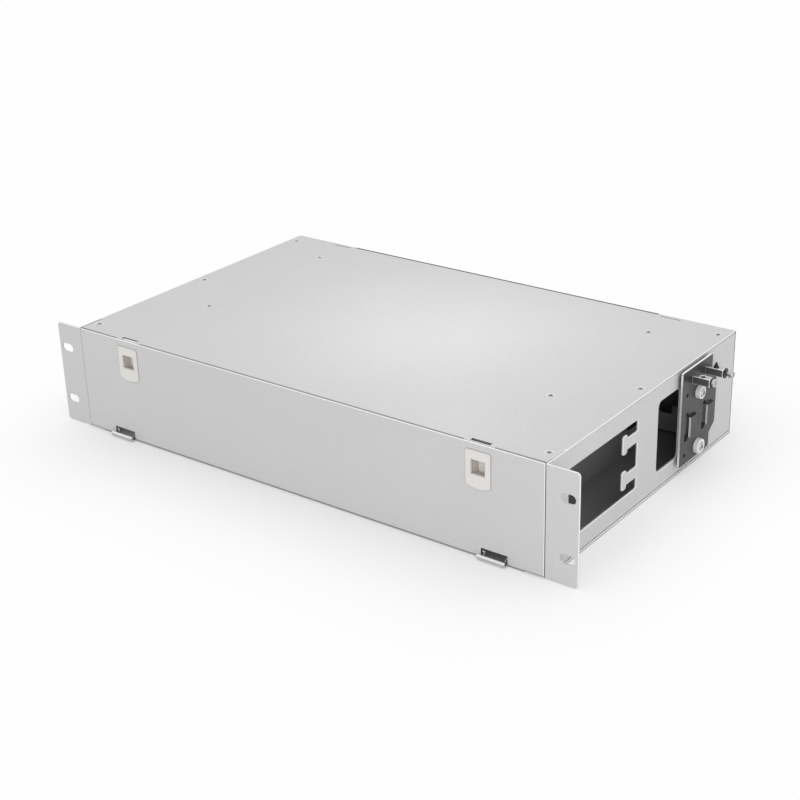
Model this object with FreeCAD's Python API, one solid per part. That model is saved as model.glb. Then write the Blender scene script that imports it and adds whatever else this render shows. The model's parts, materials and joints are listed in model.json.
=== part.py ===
import FreeCAD, Part
import math
import os
from FreeCAD import Vector

# Fibre distribution panel, two rack units high, for a 19-inch rack.
# Millimetres. Everything is drawn from the underside of the base plate (z = 0) and the front
# face of the door (y = 0), with x = 0 in the middle. Each piece is moved as it is saved, so that
# the finished part has its origin in the middle of the four rack slots, on the ears' rear face.
# X points to the right seen from the front, Y to the back, Z up.

# Case
ear_span = 482.6
ear_reach = 24.5
body_depth = 273.0
body_height = 85.2
sheet = 1.2
door_sheet = 1.0
bend_radius = 1.0
ear_corner = 3.0
base_lip = 0.8
flange = 12.0
panel_gap = 0.4
top_gap = 0.2
corner_steps = 5
past = 1.0      # how far a cutter runs past what it cuts
look = 0.1      # how far round an edge a box looks for it

# Rack slots in the ears
slot_inset = 8.75
slot_pitch_z = 44.45
slot_middle_z = 42.4
slot_length = 12.0
slot_width = 7.0

# Top cover
cover_notch = 24.5
cover_lip = 8.0
lip_from_latch = 12.5
cover_slot_length = 16.0
cover_slot_width = 3.1
cover_slot_y = 4.05
rear_slot_length = 16.5
rear_slot_width = 2.0
rear_slot_from_back = 5.0
rear_tab_half = 11.0

# Small screws; they and their holes have flat sides
screw_sides = 8
screw_r = 1.5
screw_head_r = 2.8
screw_length = 6.0
screw_play = 0.05
edge_screw_inset = 7.8
edge_screw_from_end = 15.0
inner_screw_inset = 6.5
inner_screw_front = 12.4
inner_screw_rear = 8.0
rear_screw_from_edge = 20.0

# Hook hinge of the door
hinge_from_wall = 41.1
hook_width = 22.0
hook_reach = 4.5
hook_lip_top = 4.2
wire_r = 0.8
wire_sides = 8
hinge_play = 0.05
notch_width = 21.7
notch_top = 7.5
wire_inset = 2.4
wire_rail_z = 4.6
wire_rail_overhang = 7.0
wire_rail_room = 1.0
base_front_inset = 16.8
base_front_y = 0.3
base_setback = 2.0
door_flange = 8.0
door_over_base = 0.3

# Slide latches of the door
latch_from_wall = 53.3
latch_width = 20.5
latch_from_top = 5.2
latch_height = 26.0
latch_sagitta = 2.5
latch_corner = 1.5
latch_proud = 0.5
latch_rim = 1.0
latch_fit = 0.2
latch_depth = 8.0
latch_wall = 1.6
latch_play = 0.3
window_width = 11.0
window_height = 10.4
window_from_top = 12.6
latch_travel = 2.4
cup_depth = 3.8
cup_taper = 1.0
bolt_thickness = 2.5
bolt_width = 14.0
bolt_gap = 1.6
keeper_sheet = 1.0

# Openings in the side panels
patch_front = 27.5
patch_from_back = 152.5
patch_low = 15.8
patch_from_top = 15.7
patch_corner = 2.0
cable_front_from_back = 122.5
cable_rear_from_back = 89.7
cable_low = 14.5
cable_from_top = 14.2
cable_corner = 4.5
finger_root = 14.3
finger_head = 6.4
finger_head_height = 14.8
finger_head_corner = 1.4
finger_stem = 8.8
finger_inset = 13.0

# Inner brackets, adapter panel and adapters
inner_wall_from_side = 47.8
inner_wall_from_back = 31.0
inner_wall_behind_panel = 2.0
inner_flange = 13.0
inner_flange_behind_panel = 18.0
adapter_panel_return = 17.0
bracket_window_length = 38.0
bracket_window_from_rear = 14.0
bracket_window_low = 18.0
bracket_window_from_top = 21.2
bracket_window_corner = 6.0
tie_ear_reach = 26.0
tie_ear_height = 25.0
tie_ear_root = 2.0
tie_ear_step = (13.0, 18.0)
adapter_panel_y = 62.0
adapter_panel_bottom = 4.0
adapter_panel_from_top = 5.2
adapter_side_gap = 10.0
adapter_pitch = 26.0
adapter_low_row = 21.0
adapter_high_row = 20.0
adapter_width = 12.6
adapter_height = 9.4
adapter_length = 26.0
adapter_flange_width = 22.0
adapter_flange_sheet = 2.0
adapter_play = 0.1
port_depth = 8.0
port_wall = 1.4
cap_play = 0.2
cap_rim = 1.0
cap_head = 4.0
cap_short = 1.0
side_screw_low = 14.0
side_screw_from_top = 15.2
pan_head_thick = 1.8

# Splice trays
tray_side_gap = 14.0
tray_middle_gap = 5.0
tray_behind_guides = 5.0
tray_from_wall_end = 6.0
tray_height = 11.0
tray_wall = 1.5
tray_corner = 14.0
tray_mouth = 16.0
tray_mouth_sill = 3.0
lid_sheet = 1.0
stud_r = 2.0
stud_play = 0.1
stud_beyond = 0.8
thumb_nut_r = 7.0
thumb_nut_h = 7.0
thumb_nut_collar = 2.0
hub_r = 5.0
guide_r = 34.0
guide_sides = 16
guide_from_tray_side = 39.0
guide_below_rim = 1.0
comb_width = 34.0
comb_height = 5.0
comb_slots = 6
comb_pitch = 3.9
comb_gap = 6.0
comb_web = 1.2
comb_play = 0.1
sleeve_r = 1.3
sleeve_sides = 6
sleeve_length = 60.0

# Bend guides behind the adapters
bend_guide_count = 4
bend_guide_from_wall = 44.0
bend_guide_behind_panel = 23.0
bend_guide_r = 30.0
bend_guide_wall = 2.0
bend_guide_height = 24.0
bend_guide_foot = (12.0, 9.0)

# Cable fixing plate on the right side
plate_gap = 2.4
plate_sheet = 2.0
plate_from_back = 94.5
plate_narrow = 47.0
plate_wide = 55.5
plate_bottom = 8.1
plate_from_top = 1.4
plate_wide_low = 17.4
plate_wide_from_top = 21.8
plate_taper = 6.0
plate_corner = 1.0
strap_slot_inset = 6.1
strap_pitch = 27.2
strap_slot_width = 5.7
strap_slot_low = 18.5
strap_slot_from_top = 34.1
strap_slot_corner = 2.4
strap_tab_low = 2.3
strap_tab_high = 4.1
strap_tab_length = 8.7
strap_tab_rise = 2.2
plate_hole_r = 1.5
plate_hole_inset = 7.9
plate_hole_low = 7.1
plate_hole_from_top = 19.8
turned_sides = 16
bush_upper_place = (25.3, 22.9)
bush_lower_place = (27.5, 8.1)
bush_upper_size = (4.8, 4.0)
bush_lower_size = (5.8, 3.8)
bush_barrel_r = 3.4
bush_play = 0.1
bolt_r = 2.0
bolt_head_r = 2.9
bolt_head_h = 2.6
bolt_head_play = 0.4
bolt_recess = 0.8
bolt_socket = (1.3, 1.2)
bolt_beyond_nut = 1.0
nut_r = 4.0
nut_h = 3.2
post_front_inset = 17.1
post_pitch = 21.0
post_from_top = 9.3
post_side = 6.0
post_length = 14.3
post_chamfer = 0.6
post_spigot_r = 2.0
post_hole_r = 2.1
washer_r = 3.9
washer_h = 0.8
pan_head_r = 3.2
pan_head_h = 2.2
pan_socket = (1.2, 1.2)
clamp_screw_r = 1.5
rear_clamp_reach = 4.0
rear_head_r = 2.6
rear_head_h = 3.2
set_screw_rise = 4.0
set_screw_inset = 0.5
set_screw_point_r = 0.5

# Places that follow from the sizes above
ear_half = ear_span / 2
half = ear_half - ear_reach
wall_inner = half - sheet
cover_under = body_height - sheet
rear_inner = body_depth - sheet
cover_front = door_sheet + panel_gap
cover_rear = rear_inner - panel_gap
edge_screw_y = (edge_screw_from_end, body_depth / 2, body_depth - edge_screw_from_end)
rear_screw_z = (rear_screw_from_edge, body_height - rear_screw_from_edge)
hook_inner_r = wire_r + hinge_play
hook_outer_r = hook_inner_r + sheet
hinge_x = half - hinge_from_wall
hinge_y = hook_outer_r - hook_reach
hinge_z = hook_outer_r
base_front_half = half - base_front_inset
door_half = wall_inner - panel_gap
door_bottom = sheet + door_over_base
door_top = body_height - top_gap
latch_x = half - latch_from_wall
latch_top = body_height - latch_from_top
latch_side_bottom = latch_top - latch_height
window_middle_z = latch_top - window_from_top
latch_body_half = latch_width / 2 - latch_rim - latch_fit
latch_body_low = latch_side_bottom + latch_rim + latch_fit
latch_body_high = latch_top - latch_rim - latch_fit
lip_half_span = latch_x - lip_from_latch
inner_wall_x = half - inner_wall_from_side
inner_wall_front = adapter_panel_y + inner_wall_behind_panel
inner_wall_rear = body_depth - inner_wall_from_back
inner_flange_front = adapter_panel_y + inner_flange_behind_panel
inner_screw_x = inner_wall_x - inner_screw_inset
inner_screw_y = (inner_flange_front + inner_screw_front, inner_wall_rear - inner_screw_rear)
side_screw_y = (inner_wall_front + inner_flange_front) / 2
side_screw_z = (side_screw_low, body_height - side_screw_from_top)
adapter_panel_top = body_height - adapter_panel_from_top
adapter_rows_z = (adapter_panel_bottom + adapter_low_row, adapter_panel_top - adapter_high_row)
adapter_columns = int(2 * (inner_wall_x - adapter_side_gap) / adapter_pitch)
bend_guide_y = adapter_panel_y + bend_guide_behind_panel
bend_guide_end = inner_wall_x - bend_guide_from_wall
tray_width = inner_wall_x - tray_side_gap - tray_middle_gap
tray_x = tray_middle_gap + tray_width / 2
tray_front = bend_guide_y + bend_guide_r + tray_behind_guides
tray_rear = inner_wall_rear - tray_from_wall_end
tray_y = (tray_front + tray_rear) / 2
guide_span = tray_width / 2 - guide_from_tray_side
comb_front = tray_y + hub_r + comb_gap
plate_inner = half + plate_gap
plate_outer = plate_inner + plate_sheet
plate_front = body_depth - plate_from_back
plate_top = body_height - plate_from_top
bush_upper = {"y": plate_front + bush_upper_place[0], "z": plate_top - bush_upper_place[1],
              "r": bush_upper_size[0], "h": bush_upper_size[1]}
bush_lower = {"y": plate_front + bush_lower_place[0], "z": plate_bottom + bush_lower_place[1],
              "r": bush_lower_size[0], "h": bush_lower_size[1]}
post_y = (plate_front + post_front_inset, plate_front + post_front_inset + post_pitch)
post_z = plate_top - post_from_top
post_end = plate_outer + post_length
patch_opening = (patch_front, body_depth - patch_from_back, patch_low, body_height - patch_from_top)
cable_opening = (body_depth - cable_front_from_back, body_depth - cable_rear_from_back,
                 cable_low, body_height - cable_from_top)

AXES = {"x": Vector(1, 0, 0), "y": Vector(0, 1, 0), "z": Vector(0, 0, 1)}


def block(x0, x1, y0, y1, z0, z1):
    """A box from its low and high value along each axis."""
    return Part.makeBox(x1 - x0, y1 - y0, z1 - z0, Vector(x0, y0, z0))


def spot(axis, a, b, along):
    """The point at `along` on the given axis, with a and b on the other two in X, Y, Z order."""
    if axis == "x":
        return Vector(along, a, b)
    if axis == "y":
        return Vector(a, along, b)
    return Vector(a, b, along)


def rod(axis, a, b, radius, start, end):
    """A cylinder along an axis, from start to end."""
    return Part.makeCylinder(radius, end - start, spot(axis, a, b, start), AXES[axis])


def faceted(axis, a, b, radii, ends, sides):
    """A flat-sided prism or tapered plug along an axis, from a ring of corners at each end."""
    turns = [2 * math.pi * (i + 0.5) / sides for i in range(sides)]
    first, last = [[spot(axis, a + radius * math.cos(turn), b + radius * math.sin(turn), along)
                    for turn in turns] for radius, along in zip(radii, ends)]
    panels = [first, last]
    for i in range(sides):
        panels.append([first[i], first[i - 1], last[i - 1], last[i]])
    faces = [Part.Face(Part.makePolygon(panel + panel[:1])) for panel in panels]
    solid = Part.Solid(Part.Shell(faces))
    if solid.Volume < 0:
        solid.reverse()
    return solid


def prism(axis, a, b, radius, start, end, sides):
    """A flat-sided rod along an axis, from start to end."""
    return faceted(axis, a, b, (radius, radius), (start, end), sides)


def extruded(points, direction):
    """A solid from a closed outline of points, pushed along a vector."""
    outline = Part.makePolygon([Vector(*point) for point in points + points[:1]])
    return Part.Face(outline).extrude(direction)


def edges_along(shape, axis, region):
    """The straight edges that run along one axis, all of them or those in a region."""
    chosen = []
    for edge in shape.Edges:
        if edge.Curve.TypeId != "Part::GeomLine":
            continue
        if abs(edge.tangentAt(edge.FirstParameter).dot(AXES[axis])) < 0.999:
            continue
        middle = edge.CenterOfMass
        if region is None or FreeCAD.BoundBox(*region).isInside(middle):
            chosen.append(edge)
    return chosen


def round_edges(shape, axis, radius, region=None):
    """Round the edges along one axis."""
    return shape.makeFillet(radius, edges_along(shape, axis, region))


def break_edges(shape, axis, size, region=None):
    """Cut the edges along one axis off at an angle."""
    return shape.makeChamfer(size, edges_along(shape, axis, region))


def obround(x, z, length, width, start, end):
    """A slot cutter along Y with round ends, long along X."""
    reach = (length - width) / 2
    ends = [rod("y", x + side * reach, z, width / 2, start, end) for side in (-1, 1)]
    return block(x - reach, x + reach, start, end, z - width / 2, z + width / 2).fuse(ends)


def mirrored(shape):
    """The same piece on the other side of the case."""
    return shape.mirror(Vector(0, 0, 0), Vector(1, 0, 0))


def fused(shapes):
    """One solid from pieces that touch, with the seams between flush faces removed."""
    return shapes[0].fuse(shapes[1:]).removeSplitter()


def save(name, shapes):
    """Move a piece to the part's own origin and write it; a list is a group of solids."""
    group = shapes if isinstance(shapes, list) else [shapes]
    moved = Part.makeCompound([shape.copy() for shape in group]) if len(group) > 1 else group[0].copy()
    moved.translate(Vector(0, -sheet, -slot_middle_z))
    moved.exportStep("parts/" + name + ".step")


def screw_hole(axis, a, b, outer, inward):
    """The countersunk hole through a sheet of a screw whose head lies in the face at `outer`."""
    radii = (screw_head_r + screw_play, screw_r + screw_play)
    return faceted(axis, a, b, radii, (outer, outer + inward * sheet), screw_sides)


def clear_hole(axis, a, b, start, end):
    """The hole for a small screw's shank."""
    return prism(axis, a, b, screw_r + screw_play, start, end, screw_sides)


def countersunk_screw(axis, a, b, outer, inward):
    """A countersunk screw, whose head fills the thickness of its sheet."""
    under = outer + inward * sheet
    head = faceted(axis, a, b, (screw_head_r, screw_r), (outer, under), screw_sides)
    low, high = sorted((under, outer + inward * screw_length))
    return fused([head, prism(axis, a, b, screw_r - screw_play, low, high, screw_sides)])


def edge_screw_places():
    """Where the screws along both side edges go, seen from above."""
    return [(side * (half - edge_screw_inset), y) for side in (-1, 1) for y in edge_screw_y]


def inner_screw_places():
    """Where the screws into the inner brackets go, seen from above."""
    return [(side * inner_screw_x, y) for side in (-1, 1) for y in inner_screw_y]


def base_plate():
    """The floor of the case, with a small lip each side and two hook tongues at the front."""
    edge = half + base_lip
    floor = block(-edge, edge, base_setback, body_depth, 0, sheet)
    floor = fused([floor, block(-base_front_half, base_front_half, base_front_y, base_setback, 0, sheet)])
    floor = floor.fuse([hinge_hook(side * hinge_x) for side in (-1, 1)]).removeSplitter()
    rear = (-edge - look, body_depth - look, -look, edge + look, body_depth + look, sheet + look)
    floor = round_edges(floor, "z", bend_radius, rear)
    holes = [screw_hole("z", x, y, 0, 1) for x, y in edge_screw_places() + inner_screw_places()]
    return floor.cut(holes)


def hinge_hook(x):
    """One tongue of the floor that runs out under the door and turns up in front of it."""
    front = -hook_reach
    section = [(0, base_setback, 0), (0, front, 0), (0, front, hook_lip_top),
               (0, front + sheet, hook_lip_top), (0, front + sheet, sheet), (0, base_setback, sheet)]
    tongue = extruded(section, Vector(hook_width, 0, 0))
    tongue.translate(Vector(x - hook_width / 2, 0, 0))
    for y, z, radius in ((front + sheet, sheet, hook_inner_r), (front, 0, hook_outer_r)):
        tongue = round_edges(tongue, "x", radius, (-half, y - look, z - look, half, y + look, z + look))
    return tongue


def rounded_block(x0, x1, y0, y1, z0, z1, corner):
    """A box whose edges along X are rounded in a few flat steps."""
    outline = []
    middles = ((y1 - corner, z1 - corner), (y0 + corner, z1 - corner),
               (y0 + corner, z0 + corner), (y1 - corner, z0 + corner))
    for quarter, (y, z) in enumerate(middles):
        for i in range(corner_steps + 1):
            turn = math.pi / 2 * (quarter + i / corner_steps)
            outline.append((x0, y + corner * math.cos(turn), z + corner * math.sin(turn)))
    return extruded(outline, Vector(x1 - x0, 0, 0))


def opening_cutter(opening, corner):
    """A cutter through the side wall with rounded corners."""
    return rounded_block(wall_inner - past, half + past, *opening, corner)


def t_fingers():
    """The two T-shaped fingers that stand into the large opening from its rear edge."""
    _, rear, low, high = patch_opening
    root = rear - finger_root
    fingers = []
    for middle in (low + finger_inset, high - finger_inset):
        reach = finger_stem / 2
        stem = block(wall_inner - past, half + past, root, rear + past, middle - reach, middle + reach)
        reach = finger_head_height / 2
        head = block(wall_inner - past, half + past, root - finger_head, root,
                     middle - reach, middle + reach)
        head = break_edges(head, "x", finger_head_corner)
        fingers.append(head.fuse(stem))
    return fingers


def side_panel():
    """The right side wall, with the rack ear bent out at its front and flanges bent in."""
    wall = block(wall_inner, half, 0, rear_inner, sheet, cover_under)
    front_corner = block(wall_inner, half, 0, cover_notch, cover_under, body_height)
    ear = block(wall_inner, ear_half, 0, sheet, 0, body_height)
    top_flange = block(wall_inner - flange, wall_inner, cover_front + flange / 2, rear_inner - 2 * sheet,
                       cover_under - sheet, cover_under)
    bottom_flange = block(wall_inner - flange, wall_inner, flange, rear_inner - 2 * sheet,
                          sheet, 2 * sheet)
    rear_flange = block(wall_inner - flange, wall_inner, rear_inner - sheet, rear_inner,
                        3 * sheet, cover_under - 3 * sheet)
    panel = fused([wall, front_corner, ear, top_flange, bottom_flange, rear_flange])
    panel = round_edges(panel, "y", ear_corner, (ear_half - look, -look, -look,
                                                 ear_half + look, sheet + look, body_height + look))
    panel = round_edges(panel, "z", bend_radius, (wall_inner - look, -look, -look,
                                                  wall_inner + look, look, body_height + look))
    patch = opening_cutter(patch_opening, patch_corner).cut(t_fingers())
    cable = opening_cutter(cable_opening, cable_corner)
    cuts = [patch, cable]
    for z in (slot_middle_z - slot_pitch_z / 2, slot_middle_z + slot_pitch_z / 2):
        cuts.append(obround(ear_half - slot_inset, z, slot_length, slot_width, -past, sheet + past))
    x = half - edge_screw_inset
    for y in edge_screw_y:
        cuts.append(clear_hole("z", x, y, cover_under - 2 * sheet, cover_under + past))
        cuts.append(clear_hole("z", x, y, 0, 3 * sheet))
    for z in rear_screw_z:
        cuts.append(clear_hole("y", x, z, rear_inner - 2 * sheet, rear_inner + past))
    return panel.cut(cuts)


def drilled_side_panel():
    """The right side panel with the two holes for the cable fixing plate."""
    holes = [bolt_bore(bush, wall_inner - past, half + past) for bush in (bush_upper, bush_lower)]
    return side_panel().cut(holes)


def top_cover():
    """The flat lid, with short lips bent down between the slots and slots for bolts and tabs."""
    plate = block(-half, half, cover_front, cover_rear, cover_under, body_height)
    lip = block(-lip_half_span, lip_half_span, cover_front, cover_front + sheet,
                cover_under - cover_lip, cover_under)
    rear_lip = lip.copy()
    rear_lip.translate(Vector(0, cover_rear - cover_front - sheet, 0))
    cover = fused([plate, lip, rear_lip])
    cover = round_edges(cover, "x", bend_radius, (-half, cover_front - look, body_height - look,
                                                  half, cover_front + look, body_height + look))
    cuts = []
    inner = wall_inner - top_gap
    for side in (-1, 1):
        low, high = sorted((side * inner, side * (half + past)))
        cuts.append(block(low, high, 0, cover_notch + top_gap, cover_under - past, body_height + past))
        x = side * latch_x
        cuts.append(block(x - cover_slot_length / 2, x + cover_slot_length / 2,
                          cover_slot_y - cover_slot_width / 2, cover_slot_y + cover_slot_width / 2,
                          cover_under - past, body_height + past))
        y = body_depth - rear_slot_from_back
        cuts.append(block(x - rear_slot_length / 2, x + rear_slot_length / 2,
                          y - rear_slot_width / 2, y + rear_slot_width / 2,
                          cover_under - past, body_height + past))
    for x, y in edge_screw_places() + inner_screw_places():
        cuts.append(screw_hole("z", x, y, body_height, -1))
    return cover.cut(cuts)


def rear_panel():
    """The back of the case, with a foot on the floor and two tabs that locate the lid."""
    back = block(-half, half, rear_inner, body_depth, sheet, door_top)
    foot = block(-base_front_half, base_front_half, rear_inner - flange, rear_inner, sheet, 2 * sheet)
    pieces = [back, foot]
    y = body_depth - rear_slot_from_back
    for side in (-1, 1):
        x = side * latch_x
        pieces.append(block(x - rear_tab_half, x + rear_tab_half, y - flange / 2, rear_inner,
                            cover_under - sheet, cover_under))
        reach = rear_slot_length / 2 - panel_gap
        pieces.append(block(x - reach, x + reach, y - sheet / 2, y + sheet / 2,
                            cover_under, door_top))
    panel = fused(pieces)
    x = half - edge_screw_inset
    holes = [screw_hole("y", side * x, z, body_depth, -1) for side in (-1, 1) for z in rear_screw_z]
    return panel.cut(holes)


def front_door():
    """The flip-down front, a shallow tray with notches for the hooks and holes for the latches."""
    skin = block(-door_half, door_half, 0, door_sheet, door_bottom, door_top)
    foot = block(-door_half, door_half, door_sheet, door_flange, door_bottom, door_bottom + door_sheet)
    door = [skin, foot]
    for side in (-1, 1):
        low, high = sorted((side * door_half, side * (door_half - door_sheet)))
        door.append(block(low, high, door_sheet, door_flange, door_bottom, latch_top))
    door = fused(door)
    door = round_edges(door, "y", bend_radius, (-door_half - look, -look, door_top - look,
                                                door_half + look, door_sheet + look, door_top + look))
    cuts = []
    for side in (-1, 1):
        x = side * hinge_x
        cuts.append(block(x - notch_width / 2, x + notch_width / 2, -past, door_sheet + past,
                          door_bottom - past, notch_top))
        rail = notch_width / 2 + wire_rail_overhang + wire_rail_room
        cuts.append(block(x - rail, x + rail, door_sheet, door_flange + past,
                          door_bottom - past, notch_top))
        width = latch_width / 2 - latch_rim
        cuts.append(block(side * latch_x - width, side * latch_x + width, -past, door_sheet + past,
                          latch_side_bottom + latch_rim, latch_top - latch_rim))
    return door.cut(cuts)


def swept(points, radius, sides):
    """A flat-sided rod bent along a line of points, with mitred corners; it starts along X."""
    first = Vector(*points[0])
    ring = [2 * math.pi * (i + 0.5) / sides for i in range(sides)]
    outline = [first + Vector(0, radius * math.cos(turn), radius * math.sin(turn)) for turn in ring]
    path = Part.makePolygon([Vector(*point) for point in points])
    sweep = Part.BRepOffsetAPI.MakePipeShell(path)
    sweep.setTransitionMode(1)
    sweep.add(Part.makePolygon(outline + outline[:1]))
    sweep.build()
    sweep.makeSolid()
    return sweep.shape()


def hinge_wire(x):
    """A bent wire: its round front leg turns in the hook, its arms run back and up through the
    door's notch, and its ends spread along the inside of the door past the notch."""
    reach = hook_width / 2 - wire_inset
    rear = door_sheet + wire_r
    end = notch_width / 2 + wire_rail_overhang
    pieces = [rod("x", hinge_y, hinge_z, wire_r, x - reach - wire_r, x + reach + wire_r)]
    for side in (-1, 1):
        arm = x + side * reach
        pieces.append(swept([(x + side * end, rear, wire_rail_z), (arm, rear, wire_rail_z),
                             (arm, rear, hinge_z), (arm, hinge_y, hinge_z)], wire_r, wire_sides))
    return fused(pieces)


def latch_outline(x, grow, y0, y1):
    """The latch's shield shape: straight top and sides, and a bottom edge on a shallow arc."""
    w = latch_width / 2 + grow
    top = latch_top + grow
    bottom = latch_side_bottom - grow
    corners = [Vector(x - w, y0, bottom), Vector(x - w, y0, top), Vector(x + w, y0, top),
               Vector(x + w, y0, bottom)]
    edges = [Part.makeLine(corners[i], corners[i + 1]) for i in range(3)]
    lowest = Vector(x, y0, bottom - latch_sagitta)
    edges.append(Part.Arc(corners[3], lowest, corners[0]).toShape())
    solid = Part.Face(Part.Wire(edges)).extrude(Vector(0, y1 - y0, 0))
    return round_edges(solid, "y", latch_corner)


def latch_bezel(x):
    """The fixed plastic body of a latch: a rim on the door's face and a box behind it."""
    rim = latch_outline(x, 0, -latch_proud, 0)
    w = latch_body_half
    low = latch_body_low
    high = latch_body_high
    body = block(x - w, x + w, 0, latch_depth, low, high)
    bezel = fused([rim, body])
    front = latch_wall - latch_proud
    cavity = block(x - bolt_width / 2 - latch_play, x + bolt_width / 2 + latch_play, front,
                   latch_depth + past, low + latch_wall, high + past)
    window = block(x - window_width / 2, x + window_width / 2, -latch_proud - past, latch_wall + past,
                   window_middle_z - window_height / 2, window_middle_z + window_height / 2)
    return bezel.cut([cavity, window])


def latch_slider(x):
    """The moving bolt: a block with a finger cup, and a blade that rises into the lid's slot."""
    w = bolt_width / 2
    front = latch_wall - latch_proud + latch_play
    rear = latch_depth - latch_play
    low = latch_body_low + latch_wall + latch_play
    high = latch_body_high - latch_travel
    body = block(x - w, x + w, front, rear, low, high)
    blade = block(x - w, x + w, cover_slot_y - bolt_thickness / 2, cover_slot_y + bolt_thickness / 2,
                  high - past, cover_under - bolt_gap)
    slider = fused([body, blade])
    cup_w = window_width / 2
    middle = window_middle_z - latch_travel / 2
    tall = (window_height + latch_travel) / 2
    mouth = Part.makePolygon([Vector(x + i * cup_w, front - look, middle + k * tall)
                              for i, k in ((-1, -1), (1, -1), (1, 1), (-1, 1), (-1, -1))])
    floor = Part.makePolygon([Vector(x + i * (cup_w - cup_taper), front + cup_depth,
                                     middle + k * (tall - cup_taper))
                              for i, k in ((-1, -1), (1, -1), (1, 1), (-1, 1), (-1, -1))])
    return slider.cut(Part.makeLoft([mouth, floor], True, True))


def latch_keeper(x):
    """The plate that closes the back of a latch and holds the bolt in."""
    plate = block(x - latch_body_half, x + latch_body_half, latch_depth, latch_depth + keeper_sheet,
                  latch_body_low, latch_body_high)
    return break_edges(plate, "y", latch_corner)


def inner_bracket():
    """A channel that stands between floor and lid and carries the adapter panel's end."""
    inner = inner_wall_x - sheet
    wall = block(inner, inner_wall_x, inner_wall_front, inner_wall_rear, sheet, cover_under)
    low = block(inner_wall_x - inner_flange, inner, inner_flange_front, inner_wall_rear, sheet, 2 * sheet)
    high = block(inner_wall_x - inner_flange, inner, inner_flange_front, inner_wall_rear,
                 cover_under - sheet, cover_under)
    ear = block(inner_wall_x, inner_wall_x + tie_ear_reach, inner_wall_rear - sheet, inner_wall_rear,
                3 * sheet, tie_ear_height)
    step_x, step_z = tie_ear_step
    notch = block(inner_wall_x + tie_ear_root, inner_wall_x + step_x, inner_wall_rear - 2 * sheet,
                  inner_wall_rear + past, step_z, tie_ear_height + past)
    bracket = fused([wall, low, high, ear]).cut(notch)
    rear = inner_wall_rear - bracket_window_from_rear
    window = block(inner - past, inner_wall_x + past, rear - bracket_window_length, rear,
                   bracket_window_low, body_height - bracket_window_from_top)
    cuts = [break_edges(window, "x", bracket_window_corner)]
    for y in inner_screw_y:
        cuts.append(clear_hole("z", inner_screw_x, y, cover_under - 2 * sheet, cover_under + past))
        cuts.append(clear_hole("z", inner_screw_x, y, 0, 3 * sheet))
    for z in side_screw_z:
        cuts.append(clear_hole("x", side_screw_y, z, inner - past, inner_wall_x + past))
    return bracket.cut(cuts)


def adapter_places():
    """The middle of each adapter, as x and z."""
    first = -(adapter_columns - 1) / 2 * adapter_pitch
    return [(first + i * adapter_pitch, z) for i in range(adapter_columns) for z in adapter_rows_z]


def adapter_panel():
    """The plate that holds the adapters, with its ends bent back along the inner brackets."""
    end = inner_wall_x - sheet
    y = adapter_panel_y
    low = adapter_panel_bottom
    high = adapter_panel_top
    pieces = [block(-end, end, y, y + sheet, low, high)]
    for side in (-1, 1):
        x0, x1 = sorted((side * end, side * (end - sheet)))
        pieces.append(block(x0, x1, y, y + adapter_panel_return, low, high))
    panel = fused(pieces)
    w = adapter_width / 2 + adapter_play
    h = adapter_height / 2 + adapter_play
    cuts = [block(x - w, x + w, y - past, y + sheet + past, z - h, z + h) for x, z in adapter_places()]
    for z in side_screw_z:
        for side in (-1, 1):
            x0, x1 = sorted((side * (end + past), side * (end - 2 * sheet)))
            cuts.append(clear_hole("x", side_screw_y, z, x0, x1))
    return panel.cut(cuts)


def adapter(x, z):
    """One through adapter: a rectangular sleeve with a flange on the panel and an open port."""
    w = adapter_width / 2
    h = adapter_height / 2
    front = adapter_panel_y - adapter_length / 2
    body = block(x - w, x + w, front, front + adapter_length, z - h, z + h)
    ears = block(x - adapter_flange_width / 2, x + adapter_flange_width / 2,
                 adapter_panel_y - adapter_flange_sheet, adapter_panel_y, z - h, z + h)
    port = block(x - w + port_wall, x + w - port_wall, front - past, front + port_depth,
                 z - h + port_wall, z + h - port_wall)
    return fused([body, ears]).cut(port)


def dust_cap(x, z):
    """A cap pushed into an adapter's front port."""
    w = adapter_width / 2 - port_wall - cap_play
    h = adapter_height / 2 - port_wall - cap_play
    front = adapter_panel_y - adapter_length / 2
    plug = block(x - w, x + w, front, front + port_depth - cap_short, z - h, z + h)
    head = block(x - w - cap_rim, x + w + cap_rim, front - cap_head, front,
                 z - h - cap_rim, z + h + cap_rim)
    return fused([plug, head])


def pan_screw(side, z):
    """A pan-head screw through an inner bracket and the adapter panel's end."""
    end = inner_wall_x - sheet
    shank = prism("x", side_screw_y, z, screw_r - screw_play, end - 3 * sheet, inner_wall_x, screw_sides)
    head = prism("x", side_screw_y, z, screw_head_r, inner_wall_x, inner_wall_x + pan_head_thick,
                 screw_sides)
    screw = fused([shank, head])
    return screw if side > 0 else mirrored(screw)


def half_ring(x, y, radius, wall, low, high, start):
    """A flat-sided half-round wall about a point, from the start angle on, anticlockwise."""
    turns = [math.radians(start) + math.pi * i / (guide_sides / 2) for i in range(guide_sides // 2 + 1)]
    outer = [(x + radius * math.cos(t), y + radius * math.sin(t), low) for t in turns]
    inner = [(x + (radius - wall) * math.cos(t), y + (radius - wall) * math.sin(t), low) for t in turns]
    return extruded(outer + inner[::-1], Vector(0, 0, high - low))


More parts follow.
